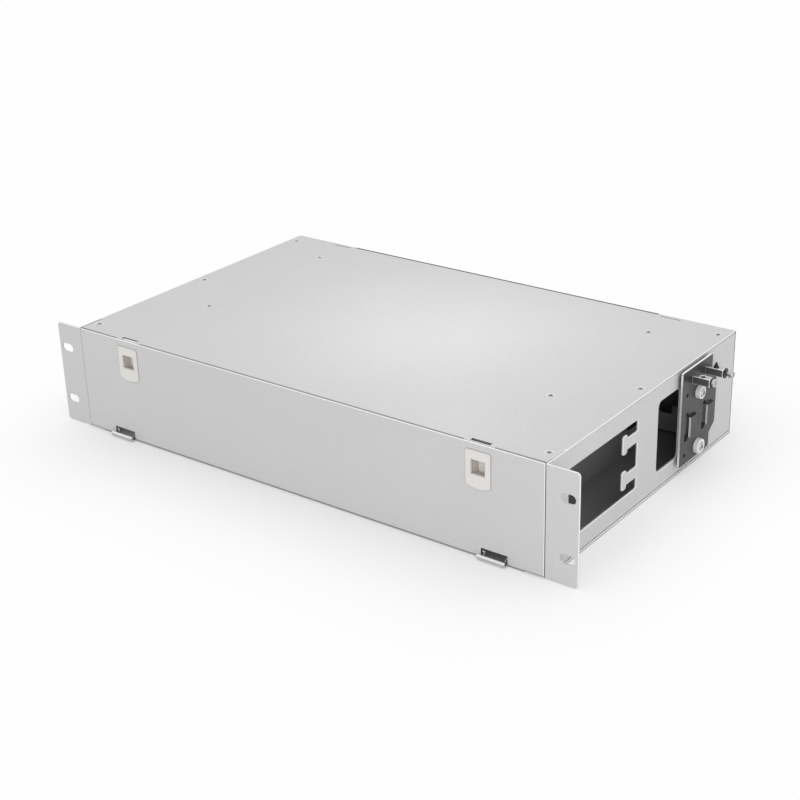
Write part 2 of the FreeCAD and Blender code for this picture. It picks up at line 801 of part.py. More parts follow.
def splice_tray(x, low):
    """A shallow moulded tray with a hub, two half-round fibre guides and open front corners."""
    w = tray_width / 2
    top = low + tray_height
    shell = break_edges(block(x - w, x + w, tray_front, tray_rear, low, top), "z", tray_corner)
    inner = block(x - w + tray_wall, x + w - tray_wall, tray_front + tray_wall, tray_rear - tray_wall,
                  low + tray_wall, top + past)
    tray = shell.cut(break_edges(inner, "z", tray_corner - tray_wall))
    floor = low + tray_wall
    inside = [half_ring(x + side * guide_span, tray_y, guide_r, tray_wall, floor,
                        top - guide_below_rim, 90 * -side)
              for side in (-1, 1)]
    inside.append(prism("z", x, tray_y, hub_r, floor, top, turned_sides))
    cuts = [stud_bore(x, low, top)]
    for side in (-1, 1):
        mouth = x + side * (w - tray_corner - tray_mouth / 2)
        cuts.append(block(mouth - tray_mouth / 2, mouth + tray_mouth / 2, tray_front - past,
                          tray_front + tray_wall + past, low + tray_mouth_sill, top + past))
    return fused([tray] + inside).cut(cuts)


def tray_lid(x, low):
    """The clear sheet on a stack of trays."""
    w = tray_width / 2
    lid = break_edges(block(x - w, x + w, tray_front, tray_rear, low, low + lid_sheet), "z", tray_corner)
    return lid.cut(stud_bore(x, low, low + lid_sheet))


def stud_bore(x, low, high):
    """The hole for a tray stud through whatever lies between two heights."""
    return prism("z", x, tray_y, stud_r + stud_play, low - past, high + past, screw_sides)


def groove_places():
    """The middle of each groove of a comb, front to back."""
    return [comb_front + comb_pitch * (i + 1) - comb_pitch / 3 for i in range(comb_slots)]


def splice_comb(x, low):
    """A block of parallel grooves on a tray's floor that grips the splice sleeves."""
    floor = low + tray_wall
    depth = comb_pitch * (comb_slots + 1 / 3)
    y = comb_front
    comb = block(x - comb_width / 2, x + comb_width / 2, y, y + depth, floor, floor + comb_height)
    w = sleeve_r + comb_play
    grooves = [block(x - comb_width, x + comb_width, y - w, y + w,
                     floor + comb_web, floor + comb_height + past) for y in groove_places()]
    return comb.cut(grooves)


def splice_sleeve(x, y, low):
    """A heat-shrink sleeve over one fibre splice, lying in its groove."""
    z = low + tray_wall + comb_web + sleeve_r + comb_play
    return prism("x", y, z, sleeve_r, x - sleeve_length / 2, x + sleeve_length / 2, sleeve_sides)


def thumb_nut(x, low):
    """A nut with a collar that holds a stack of trays down."""
    top = low + thumb_nut_h
    nut = prism("z", x, tray_y, thumb_nut_r, low, top, turned_sides)
    end = top + thumb_nut_collar
    collar = prism("z", x, tray_y, thumb_nut_r - thumb_nut_collar, top, end, turned_sides)
    return fused([nut, collar]).cut(stud_bore(x, low, end))


def bend_guide_places():
    """The middles of the bend guides, spread evenly between the inner brackets."""
    pitch = 2 * bend_guide_end / (bend_guide_count - 1)
    return [i * pitch - bend_guide_end for i in range(bend_guide_count)]


def bend_guide(x):
    """A half-round wall that keeps the fibres behind the adapters to a safe radius."""
    wall = half_ring(x, bend_guide_y, bend_guide_r, bend_guide_wall, sheet, sheet + bend_guide_height, 0)
    back = bend_guide_y + bend_guide_r - bend_guide_wall / 2
    wide, deep = bend_guide_foot
    foot = block(x - wide / 2, x + wide / 2, back - deep, back, sheet, 3 * sheet)
    return fused([wall, foot])


def cable_plate():
    """The dark plate that stands off the side wall, with two lanced strap bridges."""
    y0, y1, y2 = plate_front, plate_front + plate_narrow, plate_front + plate_wide
    low = plate_bottom + plate_wide_low
    high = plate_top - plate_wide_from_top
    outline = [(y0, plate_bottom), (y1, plate_bottom), (y1, low - plate_taper), (y2, low), (y2, high),
               (y1, high + plate_taper), (y1, plate_top), (y0, plate_top)]
    plate = extruded([(plate_inner, y, z) for y, z in outline], Vector(plate_sheet, 0, 0))
    plate = break_edges(plate, "x", plate_corner)
    cuts = []
    bridges = []
    slot_low = plate_bottom + strap_slot_low
    slot_high = plate_top - strap_slot_from_top
    tab_low = slot_low + strap_tab_low
    tab_high = slot_high - strap_tab_high
    for i in range(2):
        start = plate_front + strap_slot_inset + i * strap_pitch
        edge = start + strap_slot_width
        cuts.append(rounded_block(plate_inner - past, plate_outer + past, start, edge,
                                  slot_low, slot_high, strap_slot_corner))
        rise = strap_tab_length + strap_tab_rise
        cuts.append(block(plate_inner - past, plate_outer + past, edge - past, edge + rise,
                          tab_low, tab_high))
        bridges.append(strap_bridge(edge, tab_low, tab_high))
    for bush in (bush_upper, bush_lower):
        cuts.append(through_plate(bush["y"], bush["z"], bush_barrel_r + bush_play))
    for y in post_y:
        cuts.append(through_plate(y, post_z, post_spigot_r + bush_play))
    for z in (plate_bottom + plate_hole_low, plate_top - plate_hole_from_top):
        cuts.append(through_plate(plate_front + plate_hole_inset, z, plate_hole_r))
    return plate.cut(cuts).fuse(bridges).removeSplitter()


def through_plate(y, z, radius):
    """A hole's cutter through the cable fixing plate."""
    return prism("x", y, z, radius, plate_inner - past, plate_outer + past, turned_sides)


def strap_bridge(edge, low, high):
    """A tab beside a slot, set out by a joggle so that a strap can pass behind it."""
    turn = edge + strap_tab_length
    back = turn + strap_tab_rise
    outer = plate_outer + strap_tab_rise
    inner = plate_inner + strap_tab_rise
    section = [(inner, edge, low), (outer, edge, low), (outer, turn, low), (plate_outer, back, low),
               (plate_inner, back, low), (inner, turn, low)]
    return extruded(section, Vector(0, 0, high - low))


def outer_bush(bush):
    """The white insulating bush: a thick collar outside the plate and a barrel through it."""
    y, z = bush["y"], bush["z"]
    face = plate_outer + bush["h"]
    collar = prism("x", y, z, bush["r"], plate_outer, face, turned_sides)
    barrel = prism("x", y, z, bush_barrel_r, plate_inner, plate_outer, turned_sides)
    seat = face - bolt_head_h + bolt_recess
    recess = prism("x", y, z, bolt_head_r + bolt_head_play, seat, face + past, turned_sides)
    return fused([collar, barrel]).cut([recess, bolt_bore(bush, plate_inner - past, face)])


def bolt_bore(bush, start, end):
    """The cutter for a bush's bolt."""
    return prism("x", bush["y"], bush["z"], bolt_r + screw_play, start, end, screw_sides)


def bush_spacer(bush):
    """The insulating ring between the plate and the side wall."""
    ring = prism("x", bush["y"], bush["z"], bush["r"], half, plate_inner, turned_sides)
    return ring.cut(bolt_bore(bush, half - past, plate_inner + past))


def bush_bolt(bush):
    """The bolt through bush, plate and side wall, with a socket in its head."""
    y, z = bush["y"], bush["z"]
    seat = plate_outer + bush["h"] - bolt_head_h + bolt_recess
    top = seat + bolt_head_h
    reach, deep = bolt_socket
    head = prism("x", y, z, bolt_head_r, seat, top, turned_sides)
    shank = prism("x", y, z, bolt_r, wall_inner - nut_h - bolt_beyond_nut, seat, screw_sides)
    return fused([head, shank]).cut(hexagon(y, z, reach, top - deep, top + past))


def hexagon(y, z, radius, x0, x1):
    """A six-sided prism along X."""
    return prism("x", y, z, radius, x0, x1, 6)


def bush_nut(bush):
    """The nut on the inside of the side wall."""
    nut = hexagon(bush["y"], bush["z"], nut_r, wall_inner - nut_h, wall_inner)
    return nut.cut(bolt_bore(bush, wall_inner - nut_h - past, wall_inner + past))


def clamp_post(y):
    """A square post riveted into the plate, with a cross hole for the cable's strength member."""
    s = post_side / 2
    bar = block(plate_outer, post_end, y - s, y + s, post_z - s, post_z + s)
    end_edges = [edge for edge in bar.Edges if edge.CenterOfMass.x > post_end - look]
    bar = bar.makeChamfer(post_chamfer, end_edges)
    spigot = prism("x", y, post_z, post_spigot_r, plate_inner, plate_outer, turned_sides)
    middle = (plate_outer + post_end) / 2
    cross_hole = prism("z", middle, y, post_hole_r, post_z - s - past, post_z + s + past, turned_sides)
    return fused([bar, spigot]).cut([cross_hole, clamp_bore(y, middle, post_end)])


def end_washer(y):
    """The dark washer at the end of a post."""
    ring = prism("x", y, post_z, washer_r, post_end, post_end + washer_h, turned_sides)
    return ring.cut(clamp_bore(y, post_end, post_end + washer_h))


def clamp_bore(y, start, end):
    """The hole for a post's clamping screw."""
    return prism("x", y, post_z, clamp_screw_r + screw_play, start - past, end + past, screw_sides)


def clamp_screw(y, seat, head_r, head_h):
    """A clamping screw along a post, from its cross hole to its head."""
    tip = (plate_outer + post_end) / 2 + post_hole_r
    shank = prism("x", y, post_z, clamp_screw_r, tip, seat, screw_sides)
    return fused([shank, prism("x", y, post_z, head_r, seat, seat + head_h, turned_sides)])


def front_clamp_screw():
    """The clamping screw of the front post, driven home, with a socket in its head."""
    seat = post_end + washer_h
    reach, deep = pan_socket
    top = seat + pan_head_h
    screw = clamp_screw(post_y[0], seat, pan_head_r, pan_head_h)
    return screw.cut(hexagon(post_y[0], post_z, reach, top - deep, top + past))


def rear_clamp_screw():
    """The clamping screw of the rear post, backed out, with its small head clear of the post."""
    return clamp_screw(post_y[1], post_end + rear_clamp_reach, rear_head_r, rear_head_h)


def set_screw():
    """The pointed dark screw that stands in the rear post's cross hole."""
    y = post_y[1]
    middle = (plate_outer + post_end) / 2
    top = post_z + post_side / 2
    radius = post_hole_r - screw_play
    shank = prism("z", middle, y, radius, post_z - post_side / 2 + set_screw_inset, top, turned_sides)
    point = faceted("z", middle, y, (radius, set_screw_point_r), (top, top + set_screw_rise),
                    turned_sides)
    return fused([shank, point])


def build_case():
    """The sheet-metal case and its screws."""
    save("base_plate", base_plate())
    save("left_side_panel", mirrored(side_panel()))
    save("right_side_panel", drilled_side_panel())
    save("top_cover", top_cover())
    save("rear_panel", rear_panel())
    edge = edge_screw_places()
    inner = inner_screw_places()
    x = half - edge_screw_inset
    save("cover_edge_screws", [countersunk_screw("z", a, b, body_height, -1) for a, b in edge])
    save("cover_inner_screws", [countersunk_screw("z", a, b, body_height, -1) for a, b in inner])
    save("base_screws", [countersunk_screw("z", a, b, 0, 1) for a, b in edge + inner])
    save("rear_screws", [countersunk_screw("y", side * x, z, body_depth, -1)
                         for side in (-1, 1) for z in rear_screw_z])


def build_door():
    """The door, its hinge wires and its two latches."""
    save("front_door", front_door())
    for name, x in (("left", -1), ("right", 1)):
        save("hinge_wire_" + name, hinge_wire(x * hinge_x))
        save("latch_bezel_" + name, latch_bezel(x * latch_x))
        save("latch_slider_" + name, latch_slider(x * latch_x))
        save("latch_keeper_" + name, latch_keeper(x * latch_x))


def build_inside():
    """The inner brackets, the adapters and the splice trays."""
    save("inner_bracket_right", inner_bracket())
    save("inner_bracket_left", mirrored(inner_bracket()))
    save("adapter_panel", adapter_panel())
    save("adapter_panel_screws", [pan_screw(side, z) for side in (-1, 1) for z in side_screw_z])
    save("fibre_adapters", [adapter(x, z) for x, z in adapter_places()])
    save("adapter_dust_caps", [dust_cap(x, z) for x, z in adapter_places()])
    lower = sheet
    upper = lower + tray_height
    lid = upper + tray_height
    for name, side in (("left", -1), ("right", 1)):
        x = side * tray_x
        save("splice_tray_lower_" + name, splice_tray(x, lower))
        save("splice_tray_upper_" + name, splice_tray(x, upper))
        save("tray_lid_" + name, tray_lid(x, lid))
    sides = (-tray_x, tray_x)
    lid_top = lid + lid_sheet
    stud_top = lid_top + thumb_nut_h + thumb_nut_collar + stud_beyond
    save("tray_studs", [prism("z", x, tray_y, stud_r, sheet, stud_top, screw_sides) for x in sides])
    save("tray_thumb_nuts", [thumb_nut(x, lid_top) for x in sides])
    save("splice_combs", [splice_comb(x, low) for x in sides for low in (lower, upper)])
    save("splice_sleeves", [splice_sleeve(x, y, low) for x in sides for low in (lower, upper)
                            for y in groove_places()])
    save("bend_guides", [bend_guide(x) for x in bend_guide_places()])


def build_cable_fixing():
    """The cable fixing plate on the right side, its bushes, posts and screws."""
    bushes = (bush_upper, bush_lower)
    save("cable_fixing_plate", cable_plate())
    save("insulating_bushes", [outer_bush(bush) for bush in bushes])
    save("insulating_spacers", [bush_spacer(bush) for bush in bushes])
    save("bush_bolts", [bush_bolt(bush) for bush in bushes])
    save("bush_nuts", [bush_nut(bush) for bush in bushes])
    save("clamp_post_front", clamp_post(post_y[0]))
    save("clamp_post_rear", clamp_post(post_y[1]))
    save("clamp_washers", [end_washer(y) for y in post_y])
    save("clamp_screw_front", front_clamp_screw())
    save("clamp_screw_rear", rear_clamp_screw())
    save("set_screw_rear", set_screw())


os.makedirs("parts", exist_ok=True)
build_case()
build_door()
build_inside()
build_cable_fixing()
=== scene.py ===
import json

import bmesh
import bpy
import numpy as np
from bpy.props import FloatProperty, FloatVectorProperty, IntProperty, PointerProperty
from mathutils import Matrix, Vector

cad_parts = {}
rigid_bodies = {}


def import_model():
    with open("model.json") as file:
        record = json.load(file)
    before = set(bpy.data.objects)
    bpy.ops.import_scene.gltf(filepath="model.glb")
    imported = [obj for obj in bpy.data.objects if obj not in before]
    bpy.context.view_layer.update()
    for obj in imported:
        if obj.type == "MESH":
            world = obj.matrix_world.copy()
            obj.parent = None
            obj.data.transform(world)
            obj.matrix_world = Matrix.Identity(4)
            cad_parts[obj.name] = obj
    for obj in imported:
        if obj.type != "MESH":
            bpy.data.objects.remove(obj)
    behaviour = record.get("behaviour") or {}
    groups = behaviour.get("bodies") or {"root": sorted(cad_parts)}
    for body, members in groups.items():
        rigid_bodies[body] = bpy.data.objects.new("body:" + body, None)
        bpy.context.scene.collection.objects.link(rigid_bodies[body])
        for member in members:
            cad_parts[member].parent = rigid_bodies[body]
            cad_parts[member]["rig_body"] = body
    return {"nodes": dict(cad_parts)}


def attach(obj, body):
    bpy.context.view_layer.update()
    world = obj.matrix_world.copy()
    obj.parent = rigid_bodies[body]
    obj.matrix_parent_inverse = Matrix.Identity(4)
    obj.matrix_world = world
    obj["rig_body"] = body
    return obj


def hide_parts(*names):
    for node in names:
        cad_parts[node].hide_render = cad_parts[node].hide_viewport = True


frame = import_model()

bl_info = {
    "name": "Fibre distribution panel",
    "version": (1, 0, 0),
    "blender": (4, 5, 0),
    "location": "View3D > Sidebar > Fibre panel",
    "description": "Dresses a rack-mounted fibre distribution panel: coats, screws, wires, bushes and stage",
    "category": "Object",
}

SIDES = (("left", -1), ("right", 1))
PER_METRE = 1000.0

# How near a point lies to what a test names, in millimetres
SLACK = 0.05
ROOM = 0.1

# How much a face's normal leans along an axis: from a bend's first facet to a face square to the axis
SLIGHTLY = 0.1
HARDLY = 0.3
MOSTLY = 0.5
SQUARELY = 0.9

# Case in millimetres, in the part's frame: its origin is amid the rack slots, on the ears' rear face
SHEET = 1.2
SLOT_MIDDLE = 42.4
BODY_DEPTH = 273.0
BODY_HEIGHT = 85.2
WALL_OUT = 216.8
WALL_IN = WALL_OUT - SHEET
DOOR_FACE = -SHEET
UNDERSIDE = -SLOT_MIDDLE
FLOOR_TOP = UNDERSIDE + SHEET
FLOOR_MIDDLE = UNDERSIDE + SHEET / 2
LID_TOP = BODY_HEIGHT - SLOT_MIDDLE
LID_UNDER = LID_TOP - SHEET
REAR = BODY_DEPTH - SHEET
REAR_MIDDLE = REAR - SHEET / 2
WALL_REAR = REAR - SHEET
EAR_SLOT_X = 232.55
EAR_SLOT_Z = 22.225
EAR_SLOT_REACH = (8.0, 4.5)
LEDGE = 0.8
HOOK_CREST = UNDERSIDE + 3.2
DOOR_HALF = WALL_IN - 0.4
DOOR_BOTTOM = FLOOR_TOP + 0.3
DOOR_STRIP = 0.45
BASE_FRONT_HALF = 200.0
INNER_SEEN_FROM = 150.0

# Lid, in the same frame
LATCH_X = 163.5
LIP_FROM_LATCH = 12.5
LIP_CORNER = 1.0
LIP_HALF_SPAN = LATCH_X - LIP_FROM_LATCH
LATCH_SLOT_FRONT = 1.3
LATCH_SLOT_REAR = 4.4
LID_REAR = WALL_REAR - 0.4
REAR_LIP = 8.0
REAR_CHAMFER = 0.8
NOTCH_END = 23.5
NOTCH_SIDE = WALL_IN - 0.2

# Latches, in the same frame
CUP_Z = 23.8
CUP_FLOOR = 4.0
CUP_REACH = 5.0
CUP_TAPER = 1.4
BOLT_TIP_FROM = 36.0

# Where faces of the fixing plate and the posts get painted highlights and painted shade, in the same frame
PLATE_FRONT = 178.0
PLATE_HIGH = 30.0
PLATE_PROUD = 221.4
POST_PROUD = 222.0

# Broken edges: widths of the finer ones in metres, and how many narrow faces make each edge
FINE_EDGE = 0.0002
BEZEL_EDGE = 0.0003
SLIDER_EDGE = 0.00012
BEVEL_STEPS = 2

# Least angles in radians at the sharp edges of sheets and mouldings, and of turned pieces
SHARP = np.radians(32)
CREASE = 0.6

# Screws, nuts and wires in millimetres, with places from the door's face and the floor's underside
SCREW_LENGTH = 6.0
SCREW_PLAY = 0.05
SCREW_SHANK = 1.45
SCREW_HEAD = 2.8
EDGE_SCREW_X = WALL_OUT - 7.8
EDGE_SCREW_Y = (15.0, BODY_DEPTH / 2, BODY_DEPTH - 15.0)
INNER_SCREW_X = 162.5
INNER_SCREW_Y = (92.4, 234.0)
REAR_SCREW_Z = (20.0, BODY_HEIGHT - 20.0)
PANEL_SCREW = {"x": 169.0, "y": 72.0, "z": (14.0, 70.0)}
THUMB_NUT = {"x": 80.0, "y": 178.0, "z": 24.2}
HINGE_X = WALL_OUT - 41.1
WIRE = {"radius": 0.8, "bow": 8.6, "end": 17.85, "rail": (1.8, 4.6), "hinge": (-2.45, 2.05)}

# Recesses in millimetres: widths of their sloping walls, and the depth at which the shade starts
CROSS_WALL = 0.25
ARM_WALL = 0.35
SOCKET_WALL = 0.2
SHADE_FROM = 0.12

# Bushes (y, z, radius, height), clamp posts and their hardware, with places as for the screws
OUTWARD = (1, 0, 0)
PLATE_OUTER = WALL_OUT + 4.4
BUSHES = ((203.8, 60.9, 4.8, 4.0), (206.0, 16.2, 5.8, 3.8))
BUSH_BORE = 2.05
BUSH_RIM = 0.6
HEAD_SEAT = 1.8
BOLT_END = 211.4
RING_LENGTH = 2.4
POST_END = PLATE_OUTER + 14.3
CLAMP_Y = (195.6, 216.6)
CLAMP_Z = 74.5
WASHER = {"bore": 1.55, "radius": 3.9, "height": 0.8, "chamfer": 0.15}
REAR_CLAMP_REACH = 4.0
SET_SCREW_Z = 77.5

# Stage: tones, and places and sizes in metres
WHITE = (1, 1, 1, 1)
SEEN_WHITE = 0.99
FLOOR_TONE = (0.85, 0.85, 0.85, 1)
FLOOR_HALF = 8.0
FLOOR_GAP = 0.0001
SHADOW_MIDDLE = (0.0, 0.135)
SHADOW_HALF = (0.16, 0.12)
SHADOW_FADE = 0.17
LAMP_IN_FRONT = {"place": (1.5, -1.25, 0.4), "aim": (0.05, 0.1, 0.0), "size": 1.1}
LAMP_ABOVE = {"place": (0.03, 0.15, 0.20), "aim": (0.03, 0.15, 0.0), "size": 0.1}

# Camera, with its place in metres, its sensor in millimetres and its focal length in pixels
CAMERA_PLACE = (0.68420, -0.76701, 0.49242)
CAMERA_RIGHT = (0.80206, 0.59666, -0.02630)
CAMERA_DOWN = (0.22598, -0.34395, -0.91139)
CAMERA_AHEAD = (-0.55284, 0.72505, -0.41070)
SENSOR = 36.0
FOCAL_PIXELS = 1566.93
PICTURE_PIXELS = 800.0


def at(x, y, z):
    """A point drawn in millimetres from the door's face and the floor's underside, in the part's frame."""
    return np.array([x, y - SHEET, z - SLOT_MIDDLE]) / PER_METRE


def near(value, place, reach=SLACK):
    """Whether values lie within a reach of a place, all in millimetres."""
    return abs(value - place) < reach


# Meshes


def as_object(name, mesh, node):
    """Put a mesh in the scene in a node's stead: it rides on the node's body."""
    piece = bpy.data.objects.new(name, mesh)
    bpy.context.scene.collection.objects.link(piece)
    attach(piece, frame["nodes"][node]["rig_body"])
    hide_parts(node)
    return piece


def grid_faces(rows, columns, first):
    """The four corner numbers of every cell of a grid that closes round its columns, as one array."""
    j = np.arange(columns)
    i = np.arange(rows - 1)[:, None]
    k = (j + 1) % columns
    corners = np.stack([i * columns + j, i * columns + k, (i + 1) * columns + k, (i + 1) * columns + j], -1)
    return corners.reshape(-1, 4) + first


def surface_mesh(name, grids, material):
    """One mesh from several grids of points, each closed round its second parameter."""
    points, faces, first = [], [], 0
    for grid in grids:
        rows, columns, _ = grid.shape
        points.append(grid.reshape(-1, 3))
        faces.append(grid_faces(rows, columns, first))
        first += rows * columns
    mesh = bpy.data.meshes.new(name)
    mesh.from_pydata(np.concatenate(points), [], np.concatenate(faces))
    welded = bmesh.new()
    welded.from_mesh(mesh)
    bmesh.ops.remove_doubles(welded, verts=welded.verts, dist=1e-7)
    bmesh.ops.dissolve_degenerate(welded, edges=welded.edges, dist=1e-8)
    bmesh.ops.recalc_face_normals(welded, faces=welded.faces)
    welded.to_mesh(mesh)
    welded.free()
    mesh.shade_smooth()
    mesh.set_sharp_from_angle(angle=CREASE)
    mesh.materials.append(material)
    return mesh


def surface_piece(name, grids, material, node):
    """A piece from several grids of points, in a node's stead."""
    return as_object(name, surface_mesh(name, grids, material), node)


def axis_basis(axis):
    """Three unit rows, the last along the axis, that turn local points into the part's frame."""
    along = np.array(axis, float)
    side = np.array([0.0, 0.0, 1.0]) if abs(along[2]) < 0.5 else np.array([1.0, 0.0, 0.0])
    first = np.cross(side, along)
    first /= np.linalg.norm(first)
    return np.stack([first, np.cross(along, first), along])


def turned(profile, centre, axis, around=32, recess=None, ripple=None):
    """A profile turned about an axis. A point is centre + r cos(a) e1 + r sin(a) e2 + t e3, for each
    (t, r) of the profile and each angle a; a recess lowers t by a depth that depends on x and y, and
    a ripple lowers r by a cosine of a whole number of waves, which makes a knurl."""
    t, r = np.array(profile, float).T
    a = np.linspace(0, 2 * np.pi, around, endpoint=False)
    radius = np.repeat(r[:, None], around, 1)
    if ripple:
        depth, waves, least = ripple
        radius = radius - depth * (0.5 + 0.5 * np.cos(waves * a)) * (radius > least)
    x, y = radius * np.cos(a), radius * np.sin(a)
    height = np.repeat(t[:, None], around, 1)
    if recess:
        height = height - recess(x, y) * (t[:, None] > t.max() - 1e-9)
    local = np.stack([x, y, height], -1) / PER_METRE
    return local @ axis_basis(axis) + centre


def step_down(value, edge, soft):
    """1 below the edge and 0 above it, along a smooth cubic of the given width."""
    u = np.clip((edge - value) / soft + 0.5, 0, 1)
    return u * u * (3 - 2 * u)


def cross_recess(arm, width, depth):
    """A cross: full depth where the lesser of |x|, |y| is under half the width and the greater under
    the arm, fading out along smooth cubics."""
    def lowered(x, y):
        low, high = np.minimum(abs(x), abs(y)), np.maximum(abs(x), abs(y))
        return depth * step_down(low, width / 2, CROSS_WALL) * step_down(high, arm, ARM_WALL)
    return lowered


def socket_recess(reach, depth):
    """A six-sided socket: full depth where the largest distance along three directions is under the reach."""
    def lowered(x, y):
        turn = np.radians([0, 60, 120])[:, None, None]
        apart = np.abs(x * np.cos(turn) + y * np.sin(turn)).max(0)
        return depth * step_down(apart, reach, SOCKET_WALL)
    return lowered


def face_rings(radius, top, rings=14):
    """The rows of a round face, from its rim to its middle."""
    return [(top, r) for r in np.linspace(radius, 0, rings)]


def countersunk(centre, axis, recess):
    """A countersunk screw: shank, cone and a flat face with a recess, turned about its axis. Its rows
    are depths under the sheet's face and radii."""
    length, shank, head = SCREW_LENGTH - SCREW_PLAY, SCREW_SHANK, SCREW_HEAD
    tip, tip_chamfer, cone_foot, cone_rim, cone_short, rim = 0.3, 0.25, 1.1, 0.18, 0.02, 0.1
    profile = [(-length, 0), (-length, shank - tip_chamfer), (-length + tip, shank), (-cone_foot, shank),
               (-cone_rim, head - cone_short), (-rim, head)] + face_rings(head - rim, -SCREW_PLAY)
    return turned(profile, centre, axis, around=48, recess=recess)


def shade_recesses(mesh, places, reach, depth):
    """Paint shade on the walls of the screws' recesses: near the axis and well under the face."""
    def inside(middle, normal):
        found = np.zeros(middle.shape[1], bool)
        for centre, axis in places:
            apart = middle.T - centre * PER_METRE
            down = -apart @ np.array(axis, float)
            out = np.linalg.norm(apart + down[:, None] * np.array(axis, float), axis=1)
            found |= (out < reach) & (down > SHADE_FROM) & (down < depth)
        return found
    finish_faces(mesh, inside, deep_shade())


def pan_profile(radius, height, length, shank):
    """The rows of a pan-head screw: shank, under-head, side, a quarter-round shoulder and the face."""
    tip, tip_chamfer, corner = 0.3, 0.2, 0.45 * height
    a = np.linspace(0, np.pi / 2, 7)[:-1]
    shoulder = [(height - corner + corner * np.sin(q), radius - corner * (1 - np.cos(q))) for q in a]
    under = [(-length, 0), (-length, shank - tip_chamfer), (-length + tip, shank), (0, shank), (0, radius)]
    return under + shoulder + face_rings(radius - corner, height)


def bent_path(corners, radius, steps=7):
    """Straight runs joined by arcs: each arc's points are corner - into r (1 - sin(q)) + out r (1 - cos(q)),
    where into and out are the directions of the runs at the corner."""
    corners = np.array(corners, float)
    path = [corners[:1]]
    for before, corner, after in zip(corners, corners[1:], corners[2:]):
        into = (corner - before) / np.linalg.norm(corner - before)
        out = (after - corner) / np.linalg.norm(after - corner)
        q = np.linspace(0, np.pi / 2, steps)[:, None]
        path.append(corner - into * radius * (1 - np.sin(q)) + out * radius * (1 - np.cos(q)))
    path.append(corners[-1:])
    return np.concatenate(path)


def wire(path, radius, around=14):
    """A round profile carried along a path: each ring is p + r cos(a) n + r sin(a) b, where n and b
    are square to the path; the first and last rings close on the path itself."""
    askew = np.array([0.5, 0.62, 0.6])
    path = np.concatenate([path[:1], path, path[-1:]])
    along = np.gradient(path, axis=0)
    along /= np.linalg.norm(along, axis=1)[:, None]
    n = np.cross(along, askew)
    n /= np.linalg.norm(n, axis=1)[:, None]
    b = np.cross(along, n)
    a = np.linspace(0, 2 * np.pi, around, endpoint=False)[None, :, None]
    size = np.full(len(path), float(radius))
    size[[0, -1]] = 0
    ring = size[:, None, None] * (np.cos(a) * n[:, None] + np.sin(a) * b[:, None])
    return (path[:, None] + ring - np.array([0, SHEET, SLOT_MIDDLE])) / PER_METRE


def shift_points(mesh, chosen, move):
    """Move the points that the test chooses, given x, y and z in mm, by a step in mm."""
    points = np.empty(3 * len(mesh.vertices))
    mesh.vertices.foreach_get("co", points)
    points = points.reshape(-1, 3)
    points += chosen(*(points.T * PER_METRE))[:, None] * np.array(move) / PER_METRE
    mesh.vertices.foreach_set("co", points.ravel())
    mesh.update()


def finish_faces(mesh, chosen, material):
    """Give the faces that the test chooses another finish. The test gets the faces' middles in mm
    and their normals, each as three rows."""
    middle = np.empty(3 * len(mesh.polygons))
    normal = np.empty(3 * len(mesh.polygons))
    index = np.empty(len(mesh.polygons), int)
    mesh.polygons.foreach_get("center", middle)
    mesh.polygons.foreach_get("normal", normal)
    mesh.polygons.foreach_get("material_index", index)
    mesh.materials.append(material)
    index[chosen(middle.reshape(-1, 3).T * PER_METRE, normal.reshape(-1, 3).T)] = len(mesh.materials) - 1
    mesh.polygons.foreach_set("material_index", index)


def weigh_edges(welded, plain):
    """Mark the sharp edges that a bevel breaks, save those that the test leaves plain."""
    weight = welded.edges.layers.float.new("bevel_weight_edge")
    for edge in welded.edges:
        if edge.is_manifold and edge.calc_face_angle() > SHARP:
            middle = (edge.verts[0].co + edge.verts[1].co) / 2 * PER_METRE
            edge[weight] = 0.0 if plain and plain(*middle) else 1.0


def merged(mesh, splits, plain):
    """Weld a mesh, join its flat faces, divide them at the splits and weigh its edges."""
    welded = bmesh.new()
    welded.from_mesh(mesh)
    bmesh.ops.remove_doubles(welded, verts=welded.verts, dist=2e-6)
    bmesh.ops.dissolve_limit(welded, angle_limit=0.01, verts=welded.verts, edges=welded.edges)
    for axis, place in splits:
        square = Vector([float(i == axis) for i in range(3)])
        bmesh.ops.bisect_plane(welded, geom=welded.verts[:] + welded.edges[:] + welded.faces[:], dist=1e-7,
                               plane_co=square * place / PER_METRE, plane_no=square)
    weigh_edges(welded, plain)
    welded.to_mesh(mesh)
    welded.free()


def softened(node, width, coat, edge_highlight_and_shade=None, seam=(), faces=(), plain=None, splits=()):
    """A merged copy of a node with its sharp edges broken, its narrow new faces in the edge coat, which
    paints a highlight on most pieces that have one and a shadow line on the latch bezels.
    Splits are the planes, by axis and place in mm, at which faces are divided, plain chooses the edges
    that stay sharp, a seam shifts some points and each entry of faces gives some faces a finish."""
    mesh = frame["nodes"][node].data.copy()
    mesh.name = node + "_soft"
    merged(mesh, splits, plain)
    for chosen, move in seam:
        shift_points(mesh, chosen, move)
    mesh.shade_smooth()
    mesh.set_sharp_from_angle(angle=SHARP)
    mesh.materials.clear()
    mesh.materials.append(coat)
    mesh.materials.append(edge_highlight_and_shade or coat)
    for chosen, material in faces:
        finish_faces(mesh, chosen, material)
    piece = as_object(node + "_soft", mesh, node)
    bevel = piece.modifiers.new("broken edges", "BEVEL")
    bevel.width = width
    bevel.segments = BEVEL_STEPS
    bevel.limit_method = "WEIGHT"
    bevel.material = 1
    bevel.use_clamp_overlap = False
    piece.modifiers.new("flat faces stay flat", "WEIGHTED_NORMAL").keep_sharp = True


# Finishes


def add_node(tree, kind, place, **values):
    """A shader node with its inputs or settings filled in."""
    node = tree.nodes.new(kind)
    node.location = place
    for name, value in values.items():
        if name in node.inputs:
            node.inputs[name].default_value = value
        else:
            setattr(node, name, value)
    return node


